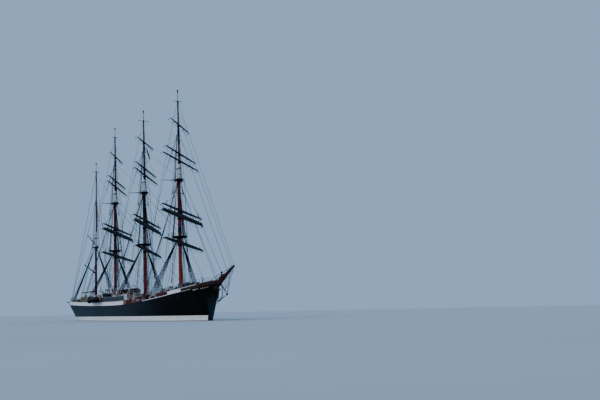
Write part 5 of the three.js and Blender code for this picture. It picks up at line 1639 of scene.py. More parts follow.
def build_anchors():
    shape = Shape(BLACK, BROWN)
    for side in (1, -1):
        points = []
        for ahead, z, out in ANCHOR_POINTS:
            x = ANCHOR_X + ahead
            points.append(Vector((x, side_at(x, z, side).y + side * out, z)))
        top, low, aft, fore, aft_tip, fore_tip = points
        shape.tube([top, low], (0.13, 0.17), BLACK, 10)
        shape.bar(aft, fore, 0.2, BLACK, 10)
        shape.tube([aft, aft_tip], (0.2, 0.06), BLACK, 8)
        shape.tube([fore, fore_tip], (0.2, 0.06), BLACK, 8)
        hawse_y = side_at(ANCHOR_X, 7.15, side).y
        shape.ring((ANCHOR_X, hawse_y + side * 0.08, 7.1), 0.36, 0.1, BLACK, "Y", 18)
        shape.bar((ANCHOR_X, hawse_y, 7.12), top, 0.1, BLACK, 8)
        streak = [side_at(46.3 + 0.5 * i, 7.3 + 0.06 * i, side, 0.03) for i in range(5)]
        shape.tube(streak, (0.05, 0.1, 0.12, 0.09, 0.05), BOW_BROWN)
    shape.make("bower_anchors", replaces=("anchor_port", "anchor_starboard"))


# Deck gear: each maker stands its gear on the deck at x, or at a height that is given

BOLLARD = ((0.13, 0.05), (0.12, 0.5), (0.17, 0.55), (0.17, 0.6), (0.06, 0.66), (0, 0.66))
RAFT = ((0, -0.75), (0.24, -0.73), (0.32, -0.62), (0.33, -0.04), (0.36, -0.03), (0.36, 0.03), (0.33, 0.04),
        (0.32, 0.62), (0.24, 0.73), (0, 0.75))


def zone_at(x):
    """Heights over the sheer of the deck at x, and of the plating beside the gear on it."""
    if x < POOP_FRONT_X:
        return POOP_DECK, 1
    if x < FORECASTLE_BACK_X:
        return UPPER_DECK, -0.3
    return FORECASTLE_DECK, 0.7


def deck_at(x):
    return sheer(x) + zone_at(x)[0]


def rail_y(x, inset):
    """Distance from the centreline of a place inside the plating."""
    return abs(side_at(x, sheer(x) + zone_at(x)[1]).y) - inset


def cowl(shape, x, y, tall, radius, heading=0.0, kind=WHITE, z=None):
    """A cowl ventilator: trunk, bell mouth and its dark throat."""
    at = spot(x, y, deck_at(x) if z is None else z, "Z", heading)
    shape.turned([(radius * 1.5, 0), (radius * 1.5, 0.08), (radius, 0.2), (radius, tall * 0.6)], kind, 14, at)
    neck = [(0, 0, tall * 0.6), (0, 0, tall * 0.8), (radius * 0.5, 0, tall), (radius * 1.9, 0, tall * 1.05)]
    bend = curve(neck, 8)
    radii = [radius * (1 + 0.6 * (i / 8) ** 2) for i in range(9)]
    shape.tube(bend, radii, kind, 14, at, caps=False)
    mouth = at @ spot(*bend[-1], "Y")
    wide = radii[-1]
    shape.turned([(0, -0.34), (wide * 0.6, -0.3), (wide * 0.8, -0.12), (wide * 0.97, 0)], GREY, 14, mouth)
    shape.turned([(wide, -0.03), (wide * 1.07, 0), (wide * 0.97, 0.02)], kind, 14, mouth)


def bollards(shape, x, y, kind=BLACK):
    z = deck_at(x)
    shape.box(x, y, 0.6, 0.2, z, z + 0.08, kind)
    for post_x in (x - 0.35, x + 0.35):
        shape.turned(BOLLARD, kind, 12, spot(post_x, y, z))


def winch(shape, x, y, size, drum=BLACK, frame_kind=GREY):
    """Two side frames, a drum with flanges, warping heads and a gear case."""
    z = deck_at(x)
    h = 0.62 * size
    shape.box(x, y, 0.55 * size, 0.8 * size, z, z + 0.1, frame_kind)
    for side_y in (y - 0.5 * size, y + 0.5 * size):
        shape.box(x, side_y, 0.38 * size, 0.05, z + 0.05, z + h * 1.25, frame_kind, edge=0.1)
    r = 0.26 * size
    profile = [(0, -size), (r, -size), (r * 0.6, -size * 0.82), (r * 0.8, -size * 0.68), (0.07, -size * 0.66),
               (0.07, -0.44 * size), (r * 1.5, -0.43 * size), (r * 1.5, -0.38 * size), (r, -0.36 * size)]
    mirrored = [(radius, -w) for radius, w in reversed(profile)]
    shape.turned(profile + mirrored, drum, 16, spot(x, y, z + h, "X"))
    shape.box(x - 0.3 * size, y + 0.67 * size, 0.2 * size, 0.11 * size, z + 0.1, z + 0.6 * size, frame_kind)


def coil(shape, x, y, radius, turns=4, thick=0.035, z=None):
    """Rope coiled down flat."""
    z = deck_at(x) if z is None else z
    steps = turns * 14
    path = []
    for i in range(steps + 1):
        turn = 2 * math.pi * i / 14
        r = radius * (1 - 0.5 * i / steps)
        path.append((x + r * math.cos(turn), y + r * math.sin(turn), z + thick + 0.03 * (i % 3)))
    shape.tube(path, thick, PALE_ROPE, 5)


def pin_rail(shape, x, y, length, kind=TEAK, seed=0, sink=0.0, athwart=False):
    """A rail of belaying pins on posts, with a hank of rope on every other pin; the seed says on which."""
    z = deck_at(x) - sink
    half = length / 2

    def place(along_rail, out):
        return (x + out, y + along_rail) if athwart else (x + along_rail, y + out)

    for post in (-half * 0.94, half * 0.94):
        shape.box(*place(post, 0), 0.07, 0.07, z, z + 1.05, kind)
    shape.box(x, y, *((0.1, half) if athwart else (half, 0.1)), z + 0.95, z + 1.08, kind)
    count = max(3, int(length / 0.32))
    for i in range(count):
        pin = -half + length * (i + 0.5) / count
        shape.bar((*place(pin, 0), z + 0.75), (*place(pin, 0), z + 1.3), 0.025, BROWN, 5)
        if (i + seed) % 2 == 0:
            loop = []
            for t in circle(10, True):
                px, py = place(pin + 0.1 * math.sin(t), 0.1 + 0.03 * math.sin(2 * t))
                loop.append((px, py, z + 0.65 + 0.36 * math.cos(t)))
            shape.tube(loop, 0.045, PALE_ROPE if i % 4 else ROPE, 5, caps=False)


def skylight(shape, x, length, wide, tall, kind=TEAK, z=None):
    """A peaked skylight on the centreline, with glass in both slopes."""
    z = deck_at(x) if z is None else z
    eave, ridge = z + tall * 0.6, z + tall
    shape.box(x, 0, length / 2, wide / 2, z - 0.1, eave, kind)
    ends = []
    for end_x in (x - length / 2, x + length / 2):
        ends += [(end_x, -wide / 2, eave), (end_x, 0, ridge), (end_x, wide / 2, eave)]
    shape.add(ends, [(0, 3, 4, 1), (1, 4, 5, 2), (0, 1, 2), (5, 4, 3)], kind)
    panes = max(2, int(length / 0.6))
    slope = math.atan2(ridge - eave, wide / 2)
    for side in (1, -1):
        for i in range(panes):
            px = x - length / 2 + length * (i + 0.5) / panes
            at = spot(px, side * wide / 4, (eave + ridge) / 2, "X", -side * slope)
            shape.box(0, 0, length / panes * 0.36, wide * 0.17, 0.005, 0.03, GLASS, at, 0.01)


def raft(shape, x, y, z=None):
    """A life raft's canister on its cradle."""
    z = deck_at(x) if z is None else z
    shape.turned(RAFT, WHITE, 16, spot(x, y, z + 0.55, "Y"))
    for strap_x in (x - 0.4, x + 0.4):
        shape.box(strap_x, y, 0.05, 0.36, z, z + 0.32, GREY)
        shape.ring((strap_x, y, z + 0.55), 0.345, 0.02, BLACK, "X", 16)


def ladder(shape, x0, x1, level, y):
    """Steps with handrails from the deck at x0 up to x1, where the deck is level over the sheer."""
    z0, z1 = deck_at(x0), sheer(x1) + level
    steps = max(3, int(abs(z1 - z0) / 0.26))
    for rail_at in (y - 0.38, y + 0.38):
        shape.bar((x0, rail_at, z0), (x1, rail_at, z1), 0.05, BROWN)
        shape.bar((x0, rail_at, z0 + 0.9), (x1, rail_at, z1 + 0.9), 0.03, LIGHT_GREY)
        shape.bar((x0, rail_at, z0), (x0, rail_at, z0 + 0.9), 0.03, LIGHT_GREY)
    for i in range(steps):
        part = (i + 0.5) / steps
        z = z0 + (z1 - z0) * part
        shape.box(x0 + (x1 - x0) * part, y, 0.13, 0.36, z - 0.02, z + 0.02, BROWN)


def locker(shape, x, y, long, wide, tall, kind, lid):
    """A deck locker with a lid that stands proud, and two strong-backs over it."""
    z = deck_at(x)
    top = z + tall
    shape.box(x, y, long / 2, wide / 2, z, top, kind, edge=0.06)
    shape.box(x, y, long / 2 + 0.05, wide / 2 + 0.05, top, top + 0.12, lid, edge=0.04)
    for bar_x in (x - long * 0.3, x + long * 0.3):
        shape.box(bar_x, y, 0.05, wide / 2 + 0.07, top + 0.1, top + 0.16, BLACK)


def reel(shape, x, y, radius, wide, kind, wound):
    """A mooring reel: rope wound between two flanges on a low frame."""
    z = deck_at(x)
    turn = spot(x, y, z + radius + 0.12, "X")
    half = wide / 2
    core = radius * 0.84
    shape.turned([(0, -half), (radius, -half), (radius, -half + 0.06), (core, -half + 0.08)], kind, 18, turn)
    shape.turned([(core, half - 0.08), (radius, half - 0.06), (radius, half), (0, half)], kind, 18, turn)
    turns = [(radius * (0.8 if i % 2 else 0.86), -half + 0.08 + (wide - 0.16) * i / 12) for i in range(13)]
    shape.turned(turns, wound, 18, turn)
    for frame_y in (y - half - 0.05, y + half + 0.05):
        legs = [(x - radius, frame_y, z), (x, frame_y, z + radius + 0.12), (x + radius, frame_y, z)]
        shape.tube(legs, 0.06, BLACK)


POOP_SIDE_GEAR = (
    # maker, x, y, then what the maker takes
    (reel, -30.4, 5.9, 0.85, 1.5, OLIVE, OLIVE),
    (winch, -28.2, 5.9, 1.5, OLIVE, OLIVE),
    (locker, -26.2, 6.1, 1.3, 0.9, 1.1, OLIVE, CREAM),
    (locker, -36.9, 6.2, 1.6, 0.9, 0.75, GEAR_BROWN, CREAM),
    (locker, -34.4, 6.2, 1.5, 0.9, 0.8, DARK_RED, MAROON),
)
POOP_INNER_GEAR = (
    # maker, x, y, then what the maker takes
    (locker, 4.6, 4.7, 1.4, 1.0, 2.0, GEAR_BROWN, WHITE),
    (locker, 6.6, 4.7, 1.4, 1.0, 2.0, GEAR_RED, CREAM),
    (locker, 8.4, 4.7, 1.4, 1.0, 2.0, GEAR_BROWN, GEAR_RED),
    (reel, 11.2, 3.6, 0.7, 1.2, GEAR_RED, GEAR_BROWN),
    (locker, -21.1, 4.85, 1.3, 1.0, 2.0, LIGHT_GREY, CREAM),
    (locker, -18.9, 4.85, 1.2, 1.0, 2.1, CREAM, GEAR_BROWN),
    (locker, -16.5, 4.85, 1.5, 1.0, 2.0, GEAR_BROWN, CREAM),
)
POOP_COWLS = (
    # x, height, y, radius
    (-20.2, 2.6, 2.3, 0.2), (-18.7, 2.9, 3.6, 0.2), (-11.9, 3.3, 4.1, 0.24), (-4.6, 3.3, 4.1, 0.24),
    (4.6, 2.3, 2.4, 0.2), (-40.2, 1.9, 2.2, 0.2),
)
POOP_WINCHES = (
    # x, y, size
    (-23, -4.3, 0.9), (-19, 0, 1.1), (5.0, 0.9, 1.0), (10.6, -1.2, 1.0), (10.6, 1.4, 1.0),
)
BINNACLE = ((0.28, 0), (0.28, 0.06), (0.17, 0.14), (0.17, 0.95), (0.24, 1.02), (0.24, 1.12), (0.12, 1.3),
            (0, 1.33))


def place_gear(shape, rows, side):
    for maker, x, y, *details in rows:
        maker(shape, x, side * y, *details)


def build_poop_gear():
    shape = Shape()
    for side in (1, -1):
        place_gear(shape, POOP_SIDE_GEAR, side)
        for x in (-9.9, -8.1, -6.3):
            z = deck_at(x)
            shape.box(x, side * 5.9, 0.82, 0.55, z, z + 2.35, BLACK, edge=0.12)
            shape.box(x, side * 5.9, 0.7, 0.5, z + 2.35, z + 2.45, BLACK, edge=0.04)
        for x in (-40.5, -38.9, -20.2, -18.4, 5.2):
            raft(shape, x, side * 6.1)
        for x in (-44.5, -23.5, -2.0, 8.0):
            bollards(shape, x, side * rail_y(x, 0.75))
        for x, tall, y, radius in POOP_COWLS:
            cowl(shape, x, side * y, tall, radius, 0.9 * side)
        for x in (-24.0, -14.0, 2.4, 6.2):
            shape.ring((x, side * rail_y(x, 0.2), deck_at(x) + 0.62), 0.3, 0.07, ORANGE, "Y", 18)
        for x in (-16.4, -13.2, -3.0, 2.2, 7.4):
            pin_rail(shape, x, side * 6.75, 1.9, seed=int(x) % 3)
        place_gear(shape, POOP_INNER_GEAR, side)
    for x, y, size in POOP_WINCHES:
        winch(shape, x, y, size, BLACK, LIGHT_GREY)
    for x in (-19.6, 5.2):
        pin_rail(shape, x, -1.7, 2.4)
        pin_rail(shape, x, 1.7, 2.4)
    pin_rail(shape, -38.9, 0, 2.2, athwart=True)
    for x, length, wide, tall in ((-39.9, 1.2, 1.3, 1.0), (-33.7, 2.2, 1.9, 1.15), (11.4, 1.2, 1.4, 0.9)):
        skylight(shape, x, length, wide, tall)
    shape.turned(BINNACLE, BRONZE, 18, spot(-28.75, 0, deck_at(-28.6)))
    for y in (-1.0, 1.0):
        cowl(shape, -24.5, y, 1.2, 0.16, z=HOUSE_ROOFS["chart_house"])
    shape.make("poop_gear")


ROOF_RAIL = 0.95
RADAR_HOOD = ((0.16, 0), (0.12, 0.2), (0.12, 1.0), (0.62, 1.1), (0.66, 1.25), (0.3, 2.0), (0.1, 2.75),
              (0, 2.8))


def build_roof_gear():
    """Rails, lights and instruments on the house roofs."""
    shape = Shape()
    houses = {row[0]: row for row in HOUSES}
    for name in ("chart_house", "aft_house", "poop_house", "fore_house"):
        _, _, x0, x1, half, *_ = houses[name]
        roof = HOUSE_ROOFS[name]
        ends = (x0 + EAVE, x1 - EAVE)
        for side in (1, -1) if name != "poop_house" else ():
            places = (ends[0], (x0 + x1) / 2, ends[1])
            found = [(Vector((x, side * (half - 0.1), roof)), Vector((0, side, 0))) for x in places]
            rail(shape, found, ROOF_RAIL, WHITE, (0.5,), 1.3, 0.03, 0.016, inset=0)
        for x in ends:
            for z in (roof + ROOF_RAIL / 2, roof + ROOF_RAIL):
                shape.bar((x, 0.1 - half, z), (x, half - 0.1, z), 0.022, WHITE, 5)
    roof = HOUSE_ROOFS["chart_house"]
    shape.turned(RADAR_HOOD, HULL_WHITE, 16, spot(-26.2, -2.2, roof))
    shape.tube([(-22.6, 0, roof), (-22.6, 0, roof + 2.4)], (0.09, 0.06), WHITE, 8)
    shape.box(-22.6, 0, 0.15, 1.1, roof + 2.25, roof + 2.45, WHITE)
    shape.block(-25.6, -23.8, -0.7, 0.7, roof, roof + 0.55, LIGHT_GREY, edge=0.1)
    raft(shape, -23.0, 1.5, roof)
    fore = HOUSE_ROOFS["fore_house"]
    for x, y in ((20.4, -1.9), (22.6, -1.9), (20.4, 1.9), (22.6, 1.9)):
        raft(shape, x, y, fore)
    for x, y, tall in ((25.2, -1.4, 1.5), (27.6, -1.8, 1.8), (27.6, 1.8, 1.8)):
        cowl(shape, x, y, tall, 0.2, 2.6, z=fore)
    shape.block(24.2, 27.2, -0.6, 0.6, fore, fore + 0.7, BLACK, edge=0.08)
    skylight(shape, 21.5, 2.4, 1.3, 0.8, WHITE, fore)
    skylight(shape, -5.9, 1.2, 1.5, 0.7, WHITE, HOUSE_ROOFS["poop_house"])
    shape.make("roof_gear")


HATCH_X = (13.6, 17.0)
WELL_LOCKERS = (
    # x, length, height, side paint, lid paint
    (13.9, 1.5, 2.5, GEAR_BROWN, WHITE),
    (15.6, 1.3, 2.9, GEAR_RED, CREAM),
    (17.3, 1.6, 2.3, GEAR_BROWN, GEAR_RED),
    (19.0, 1.2, 2.8, DARK_RED, CREAM),
    (20.8, 1.5, 2.4, GEAR_RED, GEAR_BROWN),
    (22.6, 1.3, 2.7, DARK_RED, DARK_RED),
    (26.2, 1.4, 2.2, GEAR_RED, WHITE),
    (29.6, 1.6, 2.5, DARK_RED, GEAR_RED),
    (31.3, 1.2, 2.9, GEAR_RED, DARK_RED),
)


def build_hatch(shape):
    x0, x1 = HATCH_X
    middle, half = (x0 + x1) / 2, (x1 - x0) / 2
    z = deck_at(middle)
    shape.box(middle, 0, half, 2.2, z - 0.1, z + 0.62, GREY)
    shape.box(middle, 0, half + 0.06, 2.26, z + 0.55, z + 0.66, BLACK)
    for i in range(6):
        shape.box(middle, -1.69 + 0.68 * i, half - 0.08, 0.31, z + 0.6, z + 0.885, DARK_RED, edge=0.06)
    for x in (x0 + 0.7, x1 - 0.7):
        shape.box(x, 0, 0.05, 2.1, z + 0.86, z + 0.9, BLACK)


def build_well_gear():
    shape = Shape()
    build_hatch(shape)
    for side in (1, -1):
        for x, long, tall, kind, lid in WELL_LOCKERS:
            y = side * rail_y(x, 1.75)
            locker(shape, x, y, long, 0.8, tall, kind, lid)
            if tall > 2.4:
                coil(shape, x, y, 0.36, 3, 0.05, deck_at(x) + tall + 0.16)
        for x, size in ((18.6, 1.0), (15.0, 1.1), (30.2, 1.1)):
            winch(shape, x, side * 3.9, size, DARK_RED, MAROON)
        for x in (14.8, 17.4, 20.6, 23.8, 27.0, 30.4):
            pin_rail(shape, x, side * rail_y(x, 0.5), 2.2, BROWN, int(x) % 2, 0.05)
        for x in (16.0, 21.8, 28.6):
            bollards(shape, x, side * rail_y(x, 1.4), DARK_RED)
        ladder(shape, 13.6, POOP_FRONT_X, POOP_DECK, side * 4.4)
        ladder(shape, 31.4, FORECASTLE_BACK_X, FORECASTLE_DECK, side * 3.2)
        for x, tall in ((17.0, 2.6), (30.9, 2.9)):
            cowl(shape, x, side * 2.9, tall, 0.22, 0.9 * side)
        for x in (15.2, 22.6, 25.4):
            y, z = side * rail_y(x, 1.1), deck_at(x)
            coil(shape, x + 1.4, y, 0.4, z=z)
            shape.box(x, y, 0.5, 0.35, z, z + 0.75, MAROON, edge=0.06)
        pin_rail(shape, 30.6, side * 1.9, 2.2, BROWN)
    shape.make("well_gear", replaces=("main_hatch",))


# Rail locker: x from and to, half width, y, height
RAIL_LOCKER = (9.7, 12.3, 0.3, -6.75, 1.6)
LOCKER_VENT = ((0.22, 0), (0.24, 0.04), (0.24, 0.1), (0.2, 0.12), (0.17, 0.06), (0, 0.06))


def build_locker():
    shape = Shape()
    x0, x1, half, y, tall = RAIL_LOCKER
    middle, long = (x0 + x1) / 2, (x1 - x0) / 2
    foot = sheer(middle) + POOP_DECK
    low = sheer(x0) + POOP_DECK - 0.3
    shape.box(middle, y, long - 0.06, half - 0.06, low, foot + tall - 0.06, LIGHT_GREY)
    shape.box(middle, y, long, half, foot + tall - 0.12, foot + tall, WHITE)
    shape.box(middle, y, long, half, low, foot + 0.16, GREY)
    for x in (x0 + 0.5, middle, x1 - 0.5):
        front = y - half + 0.01
        shape.block(x - 0.36, x + 0.36, front, front + 0.05, foot + 0.25, foot + tall - 0.2, WHITE, edge=0.02)
        shape.bar((x + 0.2, front, foot + 0.7), (x + 0.2, front, foot + 0.9), 0.02, BLACK)
    shape.turned(LOCKER_VENT, BLACK, 16, spot(x1 - 0.05, y, foot + 1.2, "Y"))
    shape.make("rail_locker_box", replaces=("rail_locker",))


WINDLASS_X = 41.0
WINDLASS_DRUM = ((0.16, -0.35), (0.42, -0.33), (0.42, -0.27), (0.3, -0.2), (0.26, 0), (0.3, 0.2),
                 (0.42, 0.27), (0.42, 0.33), (0.16, 0.35))
CAPSTAN = ((0.5, 0), (0.5, 0.08), (0.3, 0.16), (0.24, 0.6), (0.33, 0.95), (0.4, 1.0), (0.4, 1.12), (0.2, 1.2),
           (0, 1.22))
BELL = ((0.2, 0.95), (0.15, 1.05), (0.12, 1.2), (0.04, 1.28), (0, 1.28))
FORECASTLE_SIDE_GEAR = (
    # maker, x, y, then what the maker takes
    (reel, 40.2, 3.4, 0.75, 1.1, BOW_BROWN, SAIL_BROWN),
    (winch, 34.6, 2.2, 0.9, BLACK, MAROON),
    (raft, 36.4, 4.6),
    (coil, 39.6, 3.2, 0.5),
)


def build_windlass():
    shape = Shape()
    x, z = WINDLASS_X, deck_at(WINDLASS_X)
    turn = spot(x, 0, z + 0.75, "X")
    shape.turned([(0, -2.1), (0.16, -2.1), (0.16, 2.1), (0, 2.1)], GREY, 14, turn)
    for y in (-1.6, 0, 1.6):
        shape.turned(WINDLASS_DRUM, BLACK, 18, turn @ spot(0, 0, -y))
    for y in (-0.8, 0.8):
        shape.box(x, y, 0.45, 0.08, z - 0.1, z + 0.95, GREY, edge=0.12)
    shape.make("windlass_drums", replaces=("windlass",))


def build_forecastle_gear():
    shape = Shape()
    deck_z = deck_at(WINDLASS_X)
    for side in (1, -1):
        links = [(42.0, side * 0.9, deck_z + 0.3), (44.0, side * 1.0, deck_z + 0.12),
                 (46.2, side * 1.5, deck_z + 0.4)]
        chain(shape, curve(links, 16), 0.24)
        shape.turned(CAPSTAN, DARK_RED, 16, spot(44.6, side * 2.1, deck_at(44.6)))
        for x in (36.5, 39.4, 43.6, 47.4):
            bollards(shape, x, side * rail_y(x, 0.55))
        for x in (34.4, 37.9, 41.6):
            pin_rail(shape, x, side * rail_y(x, 0.45), 2.0, BROWN, 1)
        for x, half in ((46.4, 0.45), (48.0, 0.4)):
            z = deck_at(x)
            shape.box(x, side * rail_y(x, 0.42), half, 0.22, z, z + 0.55, BLACK, edge=0.1)
        cowl(shape, 37.3, side * 4.6, 1.6, 0.28, 2.6 * side)
        cowl(shape, 35.2, side * 2.4, 1.3, 0.16, 0.9 * side, GEAR_RED)
        roll = []
        for i in range(15):
            x = 44.4 + 0.52 * i
            roll.append((x, side * max(0.45, rail_y(x, 0.75)), deck_at(x) + 0.12))
        swell = [0.2 + 0.02 * (i % 3) for i in range(15)]
        shape.tube(roll, swell, SAIL_BROWN, 12)
        for i in range(1, 14, 2):
            shape.ring(roll[i], swell[i] + 0.01, 0.03, ROPE, "X", 12)
        z = deck_at(48.9)
        davit = [(48.9, side * 1.7, z), (48.8, side * 1.8, z + 1.2), (49.5, side * 2.4, z + 1.6)]
        shape.tube(davit, (0.11, 0.09, 0.06), BLACK, 8)
        for x, tall in ((41.9, 0.9), (43.2, 1.15), (44.5, 0.8)):
            locker(shape, x, side * rail_y(x, 1.1), 1.1, 0.8, tall, BOW_BROWN, SAIL_BROWN)
        place_gear(shape, FORECASTLE_SIDE_GEAR, side)
    skylight(shape, 37.2, 1.6, 1.4, 0.9, WHITE)
    bell = spot(39.0, 0, deck_at(39.0))
    shape.turned([(0.07, 0), (0.05, 0.9)], BLACK, 8, bell)
    shape.turned(BELL, BRONZE, 14, bell)
    for side in (-1, 1):
        head = (52.2, side * 0.5, sprit_at(52.0)[0].z + 0.5)
        shape.bar((49.4, side * 0.7, deck_at(49.4)), head, 0.09, BROWN, 8)
    shape.block(48.6, 51.8, -0.7, 0.7, deck_at(48.6), deck_at(51.6) + 0.15, BOW_BROWN, edge=0.1)
    shape.make("forecastle_gear")


BUMKIN_X = -49.5
STAFF_X = -54.6
LANTERN = ((0.1, 0), (0.06, 0.9), (0.17, 0.95), (0.17, 1.2), (0.05, 1.32), (0, 1.33))


def build_quarter_gear():
    """Bumkins and boxes on the quarters, a stern light and a bare staff at the taffrail."""
    shape = Shape(BLACK)
    for side in (1, -1):
        inner = side_at(BUMKIN_X, sheer(BUMKIN_X) + 0.7, side)
        tip = inner + Vector((-0.4, side * 0.85, 0.1))
        shape.tube([inner, tip], (0.11, 0.08), BLACK, 8)
        shape.bar(inner + Vector((0.9, -side * 0.1, -1.0)), tip, 0.07, BLACK)
        block_on(shape, tip)
        for x in (-52.6, -50.5):
            y, z = side * rail_y(x, 0.5), deck_at(x)
            shape.box(x, y, 0.5, 0.25, z, z + 0.6, DARK_RED if side < 0 else MAROON, edge=0.08)
            shape.box(x, y, 0.52, 0.27, z + 0.6, z + 0.75, WHITE, edge=0.04)
    z = deck_at(STAFF_X)
    shape.tube([(STAFF_X, 0, z), (STAFF_X - 0.6, 0, z + 3.2)], (0.07, 0.035), WHITE, 8)
    shape.turned(LANTERN, LIGHT_GREY, 12, spot(-54.1, 0, deck_at(-54.1)))
    shape.make("quarter_gear")


# Standing and running rigging

BACKSTAYS = (
    # height on the mast, distance aft of its foot on the rail, over the outrigger's end, radius
    (34.6, 8.1, False, 0.05),
    (34.4, 8.9, False, 0.05),
    (34.2, 9.7, False, 0.045),
    (47.4, 10.8, True, 0.036),
    (47.0, 11.6, True, 0.036),
    (55.3, 12.6, False, 0.03),
)
JIGGER_BACKSTAYS = (
    # height, distance aft, axis of the spar
    (25.6, 4.4, LOWER_AXIS), (38.4, 4.9, UPPER_AXIS), (46.8, 5.2, UPPER_AXIS),
)
STAYS = (
    # from mast, height, to mast, height, radius
    ("main", 35.0, "fore", 21.9, 0.045),
    ("mizzen", 35.0, "main", 21.9, 0.045),
    ("main", 47.4, "fore", 36.2, 0.022),
    ("mizzen", 47.4, "main", 36.2, 0.022),
    ("main", 55.4, "fore", 46.2, 0.014),
    ("mizzen", 55.4, "main", 46.2, 0.014),
    ("main", 38.0, "fore", 23.4, 0.035),
    ("mizzen", 38.0, "main", 23.4, 0.035),
    ("jigger", 34.5, "mizzen", 21.9, 0.045),
    ("jigger", 38.5, "mizzen", 23.3, 0.035),
    ("jigger", 47.2, "mizzen", 36.1, 0.03),
)
HEAD_STAYS = (
    # height on the fore mast, foot on the bowsprit or stem, radius
    (35.2, (53.0, 0, 8.35), 0.045),
    (38.0, (55.3, 0, 10.7), 0.04),
    (47.6, (58.6, 0, 10.6), 0.04),
    (52.0, (60.6, 0, 11.55), 0.032),
    (55.6, (61.5, 0, 12.0), 0.03),
)
# Ends of the furled roll ahead of the main topgallant mast
STICK = (Vector((7.2, 0, 47.7)), Vector((10.1, 0, 43.9)))
STICK_RADII = (0.07, 0.16, 0.19, 0.2, 0.19, 0.17, 0.08)
FALLS = (
    # head ahead of the mast's line, its y, its height
    (-0.38, 0.6375, 34.9), (-0.38, 0.75, 20.6), (-0.44, 0.275, 47.0), (-0.48, 0.9, 34.9), (-0.4, 0.2, 38.0),
    (-0.52, 0.675, 20.6),
)
LONG_FALLS = (
    # height of the head, distance aft of the foot, y of the foot
    (34.9, 3.0, 1.7), (34.9, 3.8, 2.1), (47.0, 5.2, 2.4), (47.0, 6.0, 2.9), (20.6, 3.4, 2.2),
    (20.6, 4.4, 2.8), (38.2, 5.6, 3.4), (34.9, 8.9, 5.4), (34.9, 9.9, 5.6),
)


def rail_point(x, side):
    """Where a shroud or backstay meets the rail, at the top of the plating."""
    if x < POOP_FRONT_X:
        rise = POOP_DECK + 0.09
    elif x > FORECASTLE_BACK_X:
        rise = FORECASTLE_DECK + 0.1
    else:
        rise = 0.1
    y = abs(side_at(x, sheer(x) + min(rise, 1.0)).y) - 0.15
    return Vector((x, side * y, sheer(x) + rise))


def screw(shape, foot, head, length=0.9, radius=0.055):
    """A rigging screw at the lower end of a wire."""
    way = (head - foot).normalized() * length
    shape.bar(foot, foot + way * 0.3, radius * 0.5, BLACK, 5)
    shape.bar(foot + way * 0.3, foot + way * 0.75, radius, LIGHT_GREY)


def shroud_gang(shape, heads, feet, radius, rung_radius, rung=0.42, low_share=0.06, high_share=0.97):
    """Wires from a mast down to their feet, with ratlines between them."""
    for head, foot in zip(heads, feet):
        shape.bar(foot, head, radius, WIRE)
    low = max(foot.z for foot in feet)
    high = min(head.z for head in heads)
    z = low + (high - low) * low_share
    while z < low + (high - low) * high_share:
        path = [foot.lerp(head, (z - foot.z) / (head.z - foot.z)) for head, foot in zip(heads, feet)]
        shape.tube(path, rung_radius, WIRE, 4)
        z += rung


def on_mast(at, count, x, step, y, rise, climb=0.0):
    """Evenly spaced places on a mast or its top, each a step aft of the last."""
    return [at @ Vector((x - step * i, y, rise + climb * i)) for i in range(count)]


def build_shrouds(name, x):
    shape = Shape(WIRE)
    at = mast_at(x)
    for side in (1, -1):
        heads = [at @ Vector((-0.44 - 0.04 * i, side * 0.42, along(20.4 + 0.03 * i))) for i in range(6)]
        feet = [rail_point(x - 1.9 - 0.87 * i, side) for i in range(6)]
        shroud_gang(shape, heads, feet, 0.062, 0.03)
        for head, foot in zip(heads, feet):
            screw(shape, foot, head)
        heads = on_mast(at, 5, -0.48, 0.04, side * 0.3, along(34.9))
        feet = on_mast(at, 5, -0.95, 0.15, side * 1.45, along(TOP_Z) + 0.03)
        shroud_gang(shape, heads, feet, 0.045, 0.024, 0.42, 0.05, 0.9)
        for head, foot in zip(heads, feet):
            screw(shape, foot, head, 0.8, 0.045)
        hold = at @ Vector((-0.3, side * 0.36, along(19.95)))
        for foot in feet:
            shape.bar(hold, foot - up(0.1), 0.03, WIRE, 5)
        heads = on_mast(at, 3, UPPER_AXIS - 0.22, 0.05, side * 0.2, along(47.0))
        feet = on_mast(at, 3, -0.3, 0.3, side * 0.86, along(TREE_Z) + 0.03)
        shroud_gang(shape, heads, feet, 0.036, 0.02, 0.45, 0.05, 0.8)
    shape.make(f"{name}_shrouds")


def build_backstays(name, x):
    shape = Shape(WIRE)
    at = mast_at(x)
    out_x, out_y, out_rise = OUTRIGGER
    for side in (1, -1):
        tip = at @ Vector((out_x + 0.02, side * (out_y - 0.04), along(TREE_Z) - PLATE / 2 + out_rise + 0.06))
        for z, aft, over, radius in BACKSTAYS:
            axis = UPPER_AXIS if z > HEAD_Z else LOWER_AXIS
            foot = rail_point(x - aft, side)
            path = [foot, at @ Vector((axis - 0.2, side * 0.16, along(z)))]
            if over:
                path.insert(1, tip)
            shape.tube(path, radius, WIRE, 5)
            screw(shape, foot, path[1])
    shape.make(f"{name}_backstays")


def mast_face(name, z, lower_out, upper_out):
    """A place on a mast's fore or after face."""
    x = JIGGER_X if name == "jigger" else SQUARE_MASTS[name][0]
    axis = LOWER_AXIS + lower_out if z < HEAD_Z else UPPER_AXIS + upper_out
    return mast_at(x) @ Vector((axis, 0, along(z)))


def fore_face(name, z):
    return mast_face(name, z, 0.32, 0.18)


